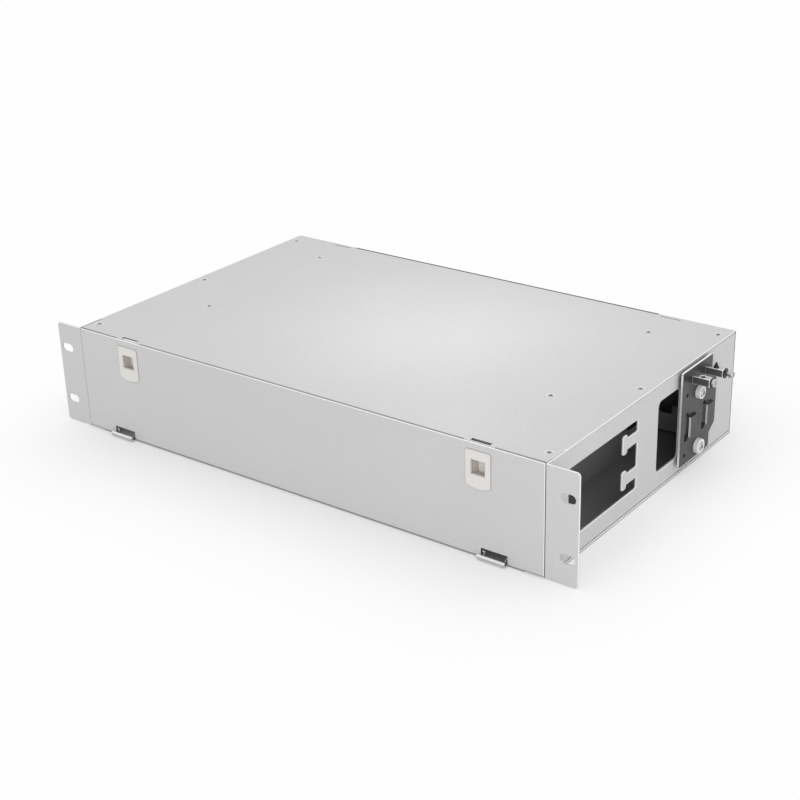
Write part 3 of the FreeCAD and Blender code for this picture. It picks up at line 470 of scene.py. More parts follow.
def noise(tree, where, height, **values):
    """The output of a noise over the object's own coordinates."""
    node = add_node(tree, "ShaderNodeTexNoise", (-900, height), **values)
    tree.links.new(where, node.inputs["Vector"])
    return node.outputs["Fac"]


def vary_colour(tree, shader, fine, broad, colour, mottle):
    """Fine grain and a share of the broad clouds run the colour from a darker to a lighter shade."""
    cloud_share, ends = 0.2, (0.35, 0.85)
    mixed = add_node(tree, "ShaderNodeMath", (-700, 120), operation="MULTIPLY_ADD")
    mixed.inputs[1].default_value = cloud_share
    tree.links.new(broad, mixed.inputs[0])
    tree.links.new(fine, mixed.inputs[2])
    ramp = add_node(tree, "ShaderNodeValToRGB", (-500, 120))
    for stop, place, shade in zip(ramp.color_ramp.elements, ends, (1 - mottle, 1 + mottle)):
        stop.position = place
        stop.color = (*[min(c * shade, 1) for c in colour], 1)
    tree.links.new(mixed.outputs[0], ramp.inputs["Fac"])
    tree.links.new(ramp.outputs["Color"], shader.inputs["Base Color"])


def finish(name, colour, rough, metal=0.0, grain=900.0, mottle=0.03, depth=0.02, spread=0.05, shine=0.5,
           clear=0.0, soft_scale=14.0):
    """A coat or moulding: fine grain and broad clouds vary its colour, a medium noise its roughness,
    and the fine grain its height."""
    found = bpy.data.materials.get(name)
    if found:
        return found
    material = bpy.data.materials.new(name)
    material.use_nodes = True
    tree = material.node_tree
    shader = tree.nodes["Principled BSDF"]
    shader.inputs["Metallic"].default_value = metal
    shader.inputs["Specular IOR Level"].default_value = shine
    shader.inputs["Transmission Weight"].default_value = clear
    where = add_node(tree, "ShaderNodeTexCoord", (-1300, 0)).outputs["Object"]
    fine = noise(tree, where, 200, Scale=grain, Detail=4.0, Roughness=0.6)
    broad = noise(tree, where, -60, Scale=soft_scale, Detail=3.0)
    medium = noise(tree, where, -320, Scale=grain / 6, Detail=3.0)
    vary_colour(tree, shader, fine, broad, colour, mottle)
    reach = add_node(tree, "ShaderNodeMapRange", (-500, -200))
    reach.inputs["To Min"].default_value = rough - spread
    reach.inputs["To Max"].default_value = rough + spread
    tree.links.new(medium, reach.inputs["Value"])
    tree.links.new(reach.outputs["Result"], shader.inputs["Roughness"])
    bump = add_node(tree, "ShaderNodeBump", (-300, -420), Strength=1.0, Distance=depth / PER_METRE)
    tree.links.new(fine, bump.inputs["Height"])
    tree.links.new(bump.outputs["Normal"], shader.inputs["Normal"])
    return material


def colours():
    """The colours as the user has them."""
    return bpy.context.scene.panel_colours


def shapes():
    """The small sizes as the user has them."""
    return bpy.context.scene.panel_shapes


def case_coat():
    return finish("case_coat", colours().case, rough=0.45, metal=0.05, grain=800.0, mottle=0.08, depth=0.012,
                  spread=0.04, shine=0.25)


# Painted highlight: a near-white copy of the case coat on broken edges, the floor's ledge and the hooks' tops
def case_edge_highlight():
    return finish("case_edge_highlight", colours().case_edge_highlight, rough=0.3, metal=0.2, grain=1100.0, mottle=0.02,
                  depth=0.004, spread=0.04)


# Partly painted shade: the inner sheets are coloured dark for the shade inside the case, and the same dark
# paints shade on inward faces, the door's ends and underside, the lid's front bend and slot walls, and the
# floor's front edge
def inner_coat_and_shade():
    return finish("inner_coat_and_shade", colours().inner, rough=0.5, metal=0.2, grain=1300.0, mottle=0.04,
                  depth=0.012)


def zinc_plate():
    return finish("zinc_plate", colours().zinc, rough=0.28, metal=1.0, mottle=0.06, depth=0.004, spread=0.08)


# Painted shade: a darker copy of the zinc on the front sides of the clamp posts
def post_side_shade():
    return finish("post_side_shade", colours().post_side_shade, rough=0.35, metal=0.7, mottle=0.06, depth=0.004)


def black_oxide():
    return finish("black_oxide", colours().oxide, rough=0.38, metal=0.6, grain=1200.0, mottle=0.1,
                  depth=0.006)


def hook_steel():
    return finish("hook_steel", colours().hook, rough=0.26, metal=0.9, mottle=0.04, depth=0.004)


def deep_shade():
    return finish("deep_shade", colours().deep, rough=0.5, metal=0.4, mottle=0.05, depth=0.004)


def plate_coat():
    return finish("plate_coat", colours().plate, rough=0.4, metal=0.1, grain=1600.0, mottle=0.12, depth=0.02,
                  spread=0.08)


# Painted highlight: near white on the fixing plate's cut faces and on the clamp posts' broken edges
def plate_edge_highlight():
    return finish("plate_edge_highlight", colours().plate_edge_highlight, rough=0.3, metal=0.3, grain=1200.0, mottle=0.05,
                  depth=0.004)


def latch_plastic():
    return finish("latch_plastic", colours().latch, rough=0.5, grain=700.0, mottle=0.02, depth=0.006,
                  soft_scale=60.0)


# Painted shade: a darker copy of the latch moulding on the sliding bolts and as a shadow line round the
# bezels
def latch_shade_plastic():
    return finish("latch_shade_plastic", colours().latch_shade, rough=0.45, grain=700.0, mottle=0.02, depth=0.006,
                  soft_scale=60.0)


def bush_plastic():
    return finish("bush_plastic", colours().bush, rough=0.32, grain=600.0, mottle=0.02, depth=0.003,
                  soft_scale=80.0)


def adapter_plastic():
    return finish("adapter_plastic", colours().adapter, rough=0.36, mottle=0.08, depth=0.006, soft_scale=50.0)


def cap_plastic():
    return finish("cap_plastic", colours().cap, rough=0.5, grain=700.0, depth=0.006, soft_scale=70.0)


def tray_plastic():
    return finish("tray_plastic", colours().tray, rough=0.48, grain=800.0, mottle=0.08, depth=0.012,
                  soft_scale=25.0)


def guide_plastic():
    return finish("guide_plastic", colours().guide, rough=0.42, mottle=0.15, depth=0.01, soft_scale=40.0)


def clear_sheet():
    return finish("clear_sheet", colours().clear, rough=0.08, grain=200.0, mottle=0.01, depth=0.0005,
                  spread=0.03, clear=0.92)


def dress(node, material):
    """Give a CAD node that keeps its own shape its finish."""
    mesh = frame["nodes"][node].data
    mesh.materials.clear()
    mesh.materials.append(material)


# What a user would change


def colour_property(name, description, default):
    return FloatVectorProperty(name=name, description=description, default=default, subtype="COLOR", size=3,
                               min=0.0, max=1.0)


class PanelColours(bpy.types.PropertyGroup):
    """The colours of the coats, platings and mouldings, and of the painted highlights and painted shade."""
    case: colour_property("Case coat", "Light grey coat on the outer sheets", (0.60, 0.60, 0.60))
    # Painted highlight on broken edges, not a coat of its own
    case_edge_highlight: colour_property("Case edges", "The coat where it runs over broken edges", (0.96, 0.96, 0.96))
    # Partly painted shade: dark for the shade inside the case and in seams
    inner: colour_property("Inner sheets", "Inward faces, brackets and adapter panel", (0.29, 0.29, 0.293))
    zinc: colour_property("Zinc plate", "Screws, wires and posts", (0.52, 0.52, 0.515))
    oxide: colour_property("Black oxide", "Washers and set screw", (0.02, 0.02, 0.022))
    plate: colour_property("Fixing plate", "Dark coat of the cable fixing plate", (0.036, 0.036, 0.037))
    # Painted highlight on the fixing plate's cut faces and the posts' broken edges
    plate_edge_highlight: colour_property("Fixing plate edges", "Its cut edges", (0.88, 0.88, 0.88))
    latch: colour_property("Latches", "Warm white moulding", (0.64, 0.605, 0.58))
    hook: colour_property("Hinge hooks", "Bare steel of the hooks under the door", (0.56, 0.56, 0.56))
    # Painted shade on the latch bolts and round the bezels
    latch_shade: colour_property("Latch bolts", "Warm grey moulding in the finger cups", (0.46, 0.42, 0.38))
    # Painted shade in recesses, crevices and narrow gaps
    deep: colour_property("Deep places", "Inside of the screws' recesses and narrow gaps", (0.05, 0.05, 0.05))
    # Painted shade on the clamp posts' front sides
    post_side_shade: colour_property("Post sides", "The sides of the clamp posts", (0.16, 0.16, 0.16))
    bush: colour_property("Bushes", "White insulating bushes", (0.80, 0.80, 0.79))
    adapter: colour_property("Adapters", "Blue moulding", (0.03, 0.12, 0.36))
    cap: colour_property("Caps and combs", "White soft moulding", (0.70, 0.70, 0.69))
    tray: colour_property("Splice trays", "Grey moulding", (0.13, 0.135, 0.14))
    guide: colour_property("Bend guides", "Black moulding", (0.018, 0.018, 0.018))
    clear: colour_property("Clear sheet", "Tray lids and splice sleeves", (0.90, 0.92, 0.93))


class PanelShapes(bpy.types.PropertyGroup):
    """The small sizes that the dressing adds."""
    edge: FloatProperty(name="Broken edge", description="Width of the sheets' broken edges", default=0.00036,
                        min=0.00005, max=0.001, unit="LENGTH", precision=5)
    seam: FloatProperty(name="Open seam", description="How far the sheets' seams stand open beyond the plain "
                        "solids, in mm", default=0.35, min=0.0, max=0.6)
    foot_seam: FloatProperty(name="Foot seam", description="How far the walls stand off the floor, in mm",
                             default=0.5, min=0.0, max=0.6)
    moulded_edge: FloatProperty(name="Moulded edge", description="Radius of the mouldings' edges",
                                default=0.0004, min=0.00005, max=0.002, unit="LENGTH", precision=5)
    recess_arm: FloatProperty(name="Recess arm", description="Reach of the screws' cross recess, in mm",
                              default=1.25, min=0.3, max=2.0)
    recess_depth: FloatProperty(name="Recess depth", description="Depth of the screws' recess, in mm",
                                default=0.75, min=0.1, max=1.0)
    wire_bend: FloatProperty(name="Wire bend", description="Bend radius of the hinge wires, in mm",
                             default=1.2, min=0.9, max=2.0)
    knurls: IntProperty(name="Knurls", description="Knurls round a thumb nut", default=30, min=8, max=60)


class PanelStage(bpy.types.PropertyGroup):
    """The light and the floor."""
    world: FloatProperty(name="World light", description="Strength of the even light", default=0.94,
                         min=0, max=2)
    key: FloatProperty(name="Front light", description="Power of the lamp in front, on the right",
                       default=6.8, min=0, max=200, unit="POWER")
    above: FloatProperty(name="Light above", description="Power of the small lamp over the lid's middle",
                         default=0.085, min=0, max=200, unit="POWER")
    floor: FloatProperty(name="Floor lift", description="How much the floor is lifted towards white",
                         default=0.10, min=0, max=1)


# The case's sheets: which edges stay sharp, which seams open and which faces get painted shade and painted
# highlights


def base_way():
    """The floor: painted shade inside the walls, under them, on its front edge and as a shadow line along the
    foot of its sides, bare hooks with a painted highlight on their tops, and a painted highlight on the ledge
    outside the walls.
    """
    def plain(x, y, z):
        return abs(x) < WALL_OUT + LEDGE / 2 or z < UNDERSIDE + SHEET / 3

    def inside(c, n):
        return (n[2] > MOSTLY) & (abs(c[0]) < WALL_IN)

    def shade_under_wall(c, n):
        return (n[2] > MOSTLY) & (abs(c[0]) > WALL_IN) & (abs(c[0]) < WALL_OUT)

    def ledge(c, n):
        return (abs(c[0]) > WALL_OUT) & (c[2] > FLOOR_MIDDLE)

    def shadow_low_side(c, n):
        return (abs(n[0]) > SQUARELY) & (abs(c[0]) > WALL_OUT + LEDGE / 4) & (c[2] < FLOOR_MIDDLE)

    def shade_front_edge(c, n):
        return (n[1] < -MOSTLY) & (c[1] > DOOR_FACE - SLACK)

    def hooks(c, n):
        return (c[1] < DOOR_FACE - SLACK) & (n[2] < MOSTLY)

    def hook_top_highlights(c, n):
        return (c[1] < DOOR_FACE - SLACK) & (n[2] > -SLIGHTLY) & (c[2] > HOOK_CREST)

    splits = [(0, s * x) for s in (-1, 1) for x in (WALL_IN, WALL_OUT)]
    splits += [(2, FLOOR_MIDDLE), (2, HOOK_CREST)]
    faces = ((inside, inner_coat_and_shade()), (shade_under_wall, deep_shade()), (ledge, case_edge_highlight()),
             (shadow_low_side, deep_shade()), (shade_front_edge, inner_coat_and_shade()), (hooks, hook_steel()),
             (hook_top_highlights, case_edge_highlight()))
    return {"width": FINE_EDGE, "plain": plain, "splits": splits, "faces": faces}


def wall_way():
    """The side panels: seams open at the floor, under the lid and at the rear, and painted shade covers the
    inside and the rear end faces.
    """
    gap, foot = shapes().seam, shapes().foot_seam

    def outer(x):
        return near(abs(x), WALL_OUT, 3 * ROOM)

    def foot_edge(x, y, z):
        return outer(x) & near(z, FLOOR_TOP)

    def lid_edge(x, y, z):
        return outer(x) & near(z, LID_UNDER) & (y > NOTCH_END + 5 * ROOM)

    def rear_edge(x, y, z):
        return outer(x) & near(y, WALL_REAR)

    def plain(x, y, z):
        seam = near(z, FLOOR_TOP) or near(z, LID_UNDER)
        ear_slot = near(abs(x), EAR_SLOT_X, EAR_SLOT_REACH[0]) and near(abs(z), EAR_SLOT_Z, EAR_SLOT_REACH[1])
        return seam and y > 0 or y > WALL_REAR - ROOM or ear_slot or abs(x) < WALL_IN + ROOM

    # Painted shade on the inward faces and the rear end faces
    def inside(c, n):
        inward = (n[0] * c[0] < -1) & (abs(c[0]) < WALL_IN + 2 * ROOM)
        return inward | (c[1] > WALL_REAR - SHEET / 2) & (n[1] > MOSTLY)

    seam = ((foot_edge, (0, 0, foot)), (lid_edge, (0, 0, -gap)), (rear_edge, (0, -gap, 0)))
    return {"seam": seam, "plain": plain, "faces": ((inside, inner_coat_and_shade()),)}


def lid_painted_shade(c, n):
    """The lid's faces in painted shade: the front bend beside the latches, and the walls of slots and
    notches.
    """
    bend = (abs(n[1]) > SLIGHTLY) & (c[2] > LID_UNDER + ROOM) & (c[1] < LATCH_SLOT_FRONT)
    over_latch = near(abs(c[0]), LATCH_X, LIP_FROM_LATCH)
    in_sheet = c[2] > LID_UNDER - ROOM
    latch_slot = (n[1] < -SQUARELY) & in_sheet & (c[1] > LATCH_SLOT_FRONT) & (c[1] < LATCH_SLOT_REAR + ROOM)
    notch = (abs(n[0]) > SQUARELY) & (abs(c[0]) < NOTCH_SIDE + ROOM) & (c[1] < NOTCH_END + ROOM)
    rear_slot = (abs(n[2]) < HARDLY) & in_sheet & (c[1] > LID_REAR - REAR_LIP) & (c[1] < LID_REAR - SHEET)
    return bend & ~over_latch | latch_slot | notch | rear_slot


def lid_way():
    """The lid: it stands off the side walls at its notches and has a chamfer between its rear slots."""
    gap = shapes().seam

    def notch_edge(side):
        return lambda x, y, z: (near(x, side * NOTCH_SIDE, ROOM) & (y < NOTCH_END + ROOM)
                                & (z > LID_UNDER - ROOM))

    def rear_bend(x, y, z):
        return (abs(x) < LIP_HALF_SPAN + ROOM) & (y > LID_REAR - ROOM) & (z > LID_TOP - ROOM)

    # Painted shade on the rear chamfer between the slots
    def chamfer(c, n):
        return (n[1] > SLIGHTLY) & (c[1] > LID_REAR - REAR_CHAMFER) & (abs(c[0]) < LIP_HALF_SPAN)

    def plain(x, y, z):
        ends = y < NOTCH_END - 5 * ROOM or y > LID_REAR - REAR_LIP - 2 * ROOM
        return ends and abs(x) < WALL_IN and not near(y, EDGE_SCREW_Y[0] - SHEET, 2 * SCREW_HEAD)

    lip_ends = (-LIP_FROM_LATCH, LIP_CORNER - LIP_FROM_LATCH, LIP_FROM_LATCH)
    splits = [(0, s * (LATCH_X + end)) for s in (-1, 1) for end in lip_ends]
    splits += [(1, LID_REAR - REAR_CHAMFER)]
    seam = [(notch_edge(s), (-s * gap, 0, 0)) for s in (-1, 1)] + [(rear_bend, (0, 0, -REAR_CHAMFER))]
    faces = ((lid_painted_shade, inner_coat_and_shade()), (chamfer, deep_shade()))
    return {"splits": splits, "seam": seam, "faces": faces, "plain": plain}


def rear_way():
    """The rear panel: painted shade on its front, on its top edge between the slots and on the front half of
    its side edges, and a painted highlight on their rear half.
    """
    def between_slots(x):
        return abs(x) < LIP_HALF_SPAN

    def side_edge(x):
        return abs(x) > WALL_OUT - LEDGE

    def plain(x, y, z):
        return z > LID_TOP - 3 * ROOM and between_slots(x) or side_edge(x) and y < REAR_MIDDLE - 2 * ROOM

    # The inward front face is in painted shade
    def front(c, n):
        return n[1] < -SQUARELY

    def shade_top_edge(c, n):
        return (n[2] > SQUARELY) & (c[2] > LID_TOP - 3 * ROOM) & between_slots(c[0])

    def shade_side_front(c, n):
        return (abs(n[0]) > SQUARELY) & side_edge(c[0]) & (c[1] < REAR_MIDDLE)

    def highlight_side_rear(c, n):
        return (abs(n[0]) > SQUARELY) & side_edge(c[0]) & (c[1] > REAR_MIDDLE)

    faces = ((front, inner_coat_and_shade()), (shade_top_edge, deep_shade()), (shade_side_front, deep_shade()),
             (highlight_side_rear, case_edge_highlight()))
    return {"width": FINE_EDGE, "splits": [(0, -LIP_HALF_SPAN), (0, LIP_HALF_SPAN), (1, REAR_MIDDLE)],
            "plain": plain, "faces": faces}


# Operators


class PanelOperator:
    """What the operators share: each can be undone"""
    bl_options = {"REGISTER", "UNDO"}


class PANEL_OT_case(PanelOperator, bpy.types.Operator):
    """The case's five sheets, with painted highlights on their broken edges and painted shade inside and in
    seams
    """
    bl_idname = "fibre_panel.case"
    bl_label = "Case sheets"

    def execute(self, context):
        ways = {"base_plate": base_way(), "left_side_panel": wall_way(), "right_side_panel": wall_way(),
                "top_cover": lid_way(), "rear_panel": rear_way()}
        for node, way in ways.items():
            softened(node, coat=case_coat(), **({"width": shapes().edge, "edge_highlight_and_shade": case_edge_highlight()} | way))
        return {"FINISHED"}


class PANEL_OT_door(PanelOperator, bpy.types.Operator):
    """The flip-down door"""
    bl_idname = "fibre_panel.door"
    bl_label = "Door"

    def execute(self, context):
        strip_top = DOOR_BOTTOM + DOOR_STRIP

        def shaded(c, n):
            lower_corner = (n[1] < -MOSTLY) & (c[2] < strip_top) & (abs(c[0]) > BASE_FRONT_HALF)
            end = (abs(n[0]) > SQUARELY) & (abs(c[0]) > DOOR_HALF - SHEET)
            return end | (n[2] < -MOSTLY) | lower_corner

        softened("front_door", shapes().edge, case_coat(), case_edge_highlight(), faces=((shaded, inner_coat_and_shade()),),
                 plain=lambda x, y, z: z < strip_top - SLACK,
                 splits=[(2, strip_top), (0, -BASE_FRONT_HALF), (0, BASE_FRONT_HALF)])
        return {"FINISHED"}


class PANEL_OT_wires(PanelOperator, bpy.types.Operator):
    """The two bent hinge wires: a round profile carried along a path with arcs at its bends"""
    bl_idname = "fibre_panel.wires"
    bl_label = "Hinge wires"

    def execute(self, context):
        bow, end = WIRE["bow"], WIRE["end"]
        (rail_y, rail_z), (hinge_y, hinge_z) = WIRE["rail"], WIRE["hinge"]
        half = [(bow, hinge_y, hinge_z), (bow, rail_y, hinge_z), (bow, rail_y, rail_z), (end, rail_y, rail_z)]
        for name, side in SIDES:
            x = side * HINGE_X
            corners = [(x - reach, y, z) for reach, y, z in reversed(half)] + \
                [(x + reach, y, z) for reach, y, z in half]
            grid = wire(bent_path(corners, shapes().wire_bend), WIRE["radius"])
            surface_piece("hinge_wire_bent_" + name, [grid], zinc_plate(), "hinge_wire_" + name)
        return {"FINISHED"}


class PANEL_OT_latches(PanelOperator, bpy.types.Operator):
    """The two slide latches: moulded body, sliding bolt and rear plate"""
    bl_idname = "fibre_panel.latches"
    bl_label = "Latches"

    def execute(self, context):
        for name, side in SIDES:
            mid_x = side * LATCH_X

            def cup_floor(x, y):
                return near(y, CUP_FLOOR) & near(x, mid_x, CUP_REACH)

            # The bezel's proud sides and broken edges get painted shade, a dark line round it
            def shaded_rim(c, n):
                return (n[1] > -MOSTLY) & (c[1] < DOOR_FACE)

            # Painted light: the bolt's tip and its front faces at the cup floor are lighter than the rest of
            # the bolt, which is in painted shade
            def light(c, n):
                return (c[2] > BOLT_TIP_FROM) | (n[1] < -SQUARELY) & near(c[1], CUP_FLOOR, ROOM)

            inward = [(lambda x, y, z, s=s: cup_floor(x, y) & (s * (x - mid_x) > 0), (-s * CUP_TAPER, 0, 0))
                      for s in (-1, 1)]
            inward += [(lambda x, y, z, s=s: cup_floor(x, y) & (s * (z - CUP_Z) > 0), (0, 0, -s * CUP_TAPER))
                       for s in (-1, 1)]
            softened("latch_bezel_" + name, BEZEL_EDGE, latch_plastic(), latch_shade_plastic(),
                     faces=((shaded_rim, latch_shade_plastic()),))
            softened("latch_slider_" + name, SLIDER_EDGE, latch_shade_plastic(), seam=inward,
                     faces=((light, latch_plastic()),))
            softened("latch_keeper_" + name, shapes().edge, zinc_plate())
        return {"FINISHED"}


class PANEL_OT_case_screws(PanelOperator, bpy.types.Operator):
    """The countersunk screws: a turned profile whose face sinks into a cross recess"""
    bl_idname = "fibre_panel.case_screws"
    bl_label = "Countersunk screws"

    def execute(self, context):
        edge = [(s * EDGE_SCREW_X, y) for s in (-1, 1) for y in EDGE_SCREW_Y]
        inner = [(s * INNER_SCREW_X, y) for s in (-1, 1) for y in INNER_SCREW_Y]
        back = [(s * EDGE_SCREW_X, z) for s in (-1, 1) for z in REAR_SCREW_Z]
        groups = {
            "cover_edge_screws": [(at(x, y, BODY_HEIGHT), (0, 0, 1)) for x, y in edge],
            "cover_inner_screws": [(at(x, y, BODY_HEIGHT), (0, 0, 1)) for x, y in inner],
            "base_screws": [(at(x, y, 0), (0, 0, -1)) for x, y in edge + inner],
            "rear_screws": [(at(x, BODY_DEPTH, z), (0, 1, 0)) for x, z in back],
        }
        recess = cross_recess(shapes().recess_arm, width=0.62, depth=shapes().recess_depth)
        for node, places in groups.items():
            grids = [countersunk(centre, axis, recess) for centre, axis in places]
            piece = surface_piece(node + "_turned", grids, zinc_plate(), node)
            shade_recesses(piece.data, places, reach=1.4, depth=0.95)
        return {"FINISHED"}


class PANEL_OT_inner_sheets(PanelOperator, bpy.types.Operator):
    """The inner brackets, the adapter panel and its pan-head screws"""
    bl_idname = "fibre_panel.inner_sheets"
    bl_label = "Inner sheets"

    def execute(self, context):
        # The inner sheets take the dark coat that stands in for the shade inside the case, with painted
        # highlights on the broken edges of their rear part
        for node in ("inner_bracket_left", "inner_bracket_right", "adapter_panel"):
            softened(node, shapes().edge / 2, inner_coat_and_shade(), case_edge_highlight(), splits=[(1, INNER_SEEN_FROM)],
                     plain=lambda x, y, z: y < INNER_SEEN_FROM)
        head = pan_profile(radius=2.8, height=1.8, length=4.8, shank=SCREW_SHANK)
        recess = cross_recess(arm=1.3, width=0.7, depth=0.9)
        x, y = PANEL_SCREW["x"], PANEL_SCREW["y"]
        grids = [turned(head, at(s * x, y, z), (s, 0, 0), around=40, recess=recess)
                 for s in (-1, 1) for z in PANEL_SCREW["z"]]
        surface_piece("adapter_panel_screws_turned", grids, zinc_plate(), "adapter_panel_screws")
        return {"FINISHED"}


class PANEL_OT_adapters(PanelOperator, bpy.types.Operator):
    """The fibre adapters and their dust caps"""
    bl_idname = "fibre_panel.adapters"
    bl_label = "Adapters"

    def execute(self, context):
        dress("fibre_adapters", adapter_plastic())
        dress("adapter_dust_caps", cap_plastic())
        return {"FINISHED"}


class PANEL_OT_trays(PanelOperator, bpy.types.Operator):
    """The splice trays with their lids, combs, sleeves, studs and knurled nuts"""
    bl_idname = "fibre_panel.trays"
    bl_label = "Splice trays"

    def execute(self, context):
        for name, _ in SIDES:
            for level in ("lower", "upper"):
                softened("splice_tray_" + level + "_" + name, shapes().moulded_edge / 2, tray_plastic())
            softened("tray_lid_" + name, shapes().edge, clear_sheet())
        softened("splice_combs", shapes().edge / 2, cap_plastic())
        dress("splice_sleeves", clear_sheet())
        dress("tray_studs", zinc_plate())
        bore, collar, grip, chamfer, knurl_depth = 2.1, 5.0, 7.0, 0.4, 0.45
        nut = [(0, bore), (0, grip - chamfer), (0.5, grip), (6.5, grip), (7.0, grip - chamfer), (7.0, collar),
               (8.6, collar), (9.0, collar - chamfer), (9.0, bore), (0, bore)]
        ripple = (knurl_depth, shapes().knurls, grip - ROOM)
        places = [at(s * THUMB_NUT["x"], THUMB_NUT["y"], THUMB_NUT["z"]) for s in (-1, 1)]
        grids = [turned(nut, place, (0, 0, 1), around=120, ripple=ripple) for place in places]
        surface_piece("tray_thumb_nuts_knurled", grids, guide_plastic(), "tray_thumb_nuts")
        return {"FINISHED"}


class PANEL_OT_guides(PanelOperator, bpy.types.Operator):
    """The half-round bend guides behind the adapters"""
    bl_idname = "fibre_panel.guides"
    bl_label = "Bend guides"

    def execute(self, context):
        softened("bend_guides", shapes().moulded_edge, guide_plastic())
        return {"FINISHED"}


class PANEL_OT_fixing_plate(PanelOperator, bpy.types.Operator):
    """The dark cable fixing plate with its lanced strap bridges"""
    bl_idname = "fibre_panel.fixing_plate"
    bl_label = "Cable fixing plate"

    def execute(self, context):
        # The plate's cut faces get a painted highlight
        def highlit_cut_faces(c, n):
            outline = (c[1] < PLATE_FRONT) | (c[2] > PLATE_HIGH) & (n[2] > MOSTLY)
            return (abs(n[0]) < HARDLY) & (outline | (c[0] > PLATE_PROUD) & (n[1] < -MOSTLY))

        softened("cable_fixing_plate", FINE_EDGE, plate_coat(), faces=((highlit_cut_faces, plate_edge_highlight()),))
        return {"FINISHED"}


def bush_collar(radius, height):
    """The rows of a bush: barrel, flange, a quarter-round rim and the seat of the bolt's head."""
    barrel, inset, hollow, seat = 2.0, 3.4, 3.3, height - HEAD_SEAT
    a = np.linspace(0, np.pi / 2, 6)
    rim = [(height - BUSH_RIM + BUSH_RIM * np.sin(q), radius - BUSH_RIM + BUSH_RIM * np.cos(q)) for q in a]
    outside = [(-barrel, BUSH_BORE), (-barrel, inset), (0, inset), (0, radius)]
    return outside + rim + [(height, hollow + 0.2), (height - 0.2, hollow), (seat, hollow),
                            (seat, BUSH_BORE), (-barrel, BUSH_BORE)]


def bush_ring(radius):
    """The rows of a spacer ring with small chamfers."""
    chamfer = 0.2
    return [(0, BUSH_BORE), (0, radius - chamfer), (chamfer, radius), (RING_LENGTH - chamfer, radius),
            (RING_LENGTH, radius - chamfer), (RING_LENGTH, BUSH_BORE), (0, BUSH_BORE)]


class PANEL_OT_bushes(PanelOperator, bpy.types.Operator):
    """The insulating bushes and spacers with their bolts: turned profiles with rounded rims"""
    bl_idname = "fibre_panel.bushes"
    bl_label = "Bushes and bolts"

    def execute(self, context):
        collars, rings, bolts = [], [], []
        for y, z, radius, height in BUSHES:
            under_head = PLATE_OUTER + height - HEAD_SEAT
            bolt = pan_profile(radius=2.9, height=2.6, length=under_head - BOLT_END, shank=2.0)
            socket = socket_recess(reach=1.3, depth=1.4)
            collars.append(turned(bush_collar(radius, height), at(PLATE_OUTER, y, z), OUTWARD, around=48))
            rings.append(turned(bush_ring(radius), at(WALL_OUT, y, z), OUTWARD, around=40))
            bolts.append(turned(bolt, at(under_head, y, z), OUTWARD, around=48, recess=socket))
        for node, grids, material in (
                ("insulating_bushes", collars, bush_plastic()),
                ("insulating_spacers", rings, bush_plastic()),
                ("bush_bolts", bolts, zinc_plate())):
            surface_piece(node + "_turned", grids, material, node)
        softened("bush_nuts", shapes().edge, zinc_plate())
        return {"FINISHED"}


def washer_rows():
    """The rows of a washer with small chamfers."""
    bore, radius, height, chamfer = (WASHER[key] for key in ("bore", "radius", "height", "chamfer"))
    return [(0, bore), (0, radius - chamfer), (chamfer, radius), (height - chamfer, radius),
            (height, radius - chamfer), (height, bore), (0, bore)]


class PANEL_OT_posts(PanelOperator, bpy.types.Operator):
    """The two clamp posts with their washers, clamping screws and the pointed set screw"""
    bl_idname = "fibre_panel.posts"
    bl_label = "Clamp posts"

    def execute(self, context):
        # The posts' front sides take painted shade and their broken edges a painted highlight
        def shaded_post_side(c, n):
            return (n[1] < -SQUARELY) & (c[0] > POST_PROUD)

        for node in ("clamp_post_front", "clamp_post_rear"):
            softened(node, shapes().edge, zinc_plate(), plate_edge_highlight(), faces=((shaded_post_side, post_side_shade()),))
        front_y, rear_y = CLAMP_Y
        washers = [turned(washer_rows(), at(POST_END, y, CLAMP_Z), OUTWARD, around=40) for y in CLAMP_Y]
        front = turned(pan_profile(radius=3.2, height=2.2, length=5.85, shank=1.5),
                       at(POST_END + WASHER["height"], front_y, CLAMP_Z), OUTWARD, around=48,
                       recess=cross_recess(arm=1.8, width=0.9, depth=1.1))
        rear = turned(pan_profile(radius=2.6, height=3.2, length=9.05, shank=1.5),
                      at(POST_END + REAR_CLAMP_REACH, rear_y, CLAMP_Z), OUTWARD, around=48,
                      recess=socket_recess(reach=1.2, depth=1.4))
        low, thread, tip = -5.5, 2.05, 4.0
        point = [(low, 0), (low, 1.8), (low + 0.2, thread), (0, thread), (0.1, 2.1), (tip, 0.5), (tip, 0)]
        set_screw = turned(point, at((PLATE_OUTER + POST_END) / 2, rear_y, SET_SCREW_Z), (0, 0, 1))
        for node, grids, material in (
                ("clamp_washers", washers, black_oxide()),
                ("clamp_screw_front", [front], zinc_plate()),
                ("clamp_screw_rear", [rear], zinc_plate()),
                ("set_screw_rear", [set_screw], black_oxide())):
            surface_piece(node + "_turned", grids, material, node)
        return {"FINISHED"}


# Stage


def area_lamp(name, place, aim, size, power):
    """A square lamp that points at a place."""
    lamp = bpy.data.lights.new(name, "AREA")
    lamp.shape = "SQUARE"
    lamp.size = size
    lamp.energy = power
    holder = bpy.data.objects.new(name, lamp)
    holder.location = place
    holder.rotation_euler = (Vector(aim) - Vector(place)).to_track_quat("-Z", "Y").to_euler()
    bpy.context.scene.collection.objects.link(holder)


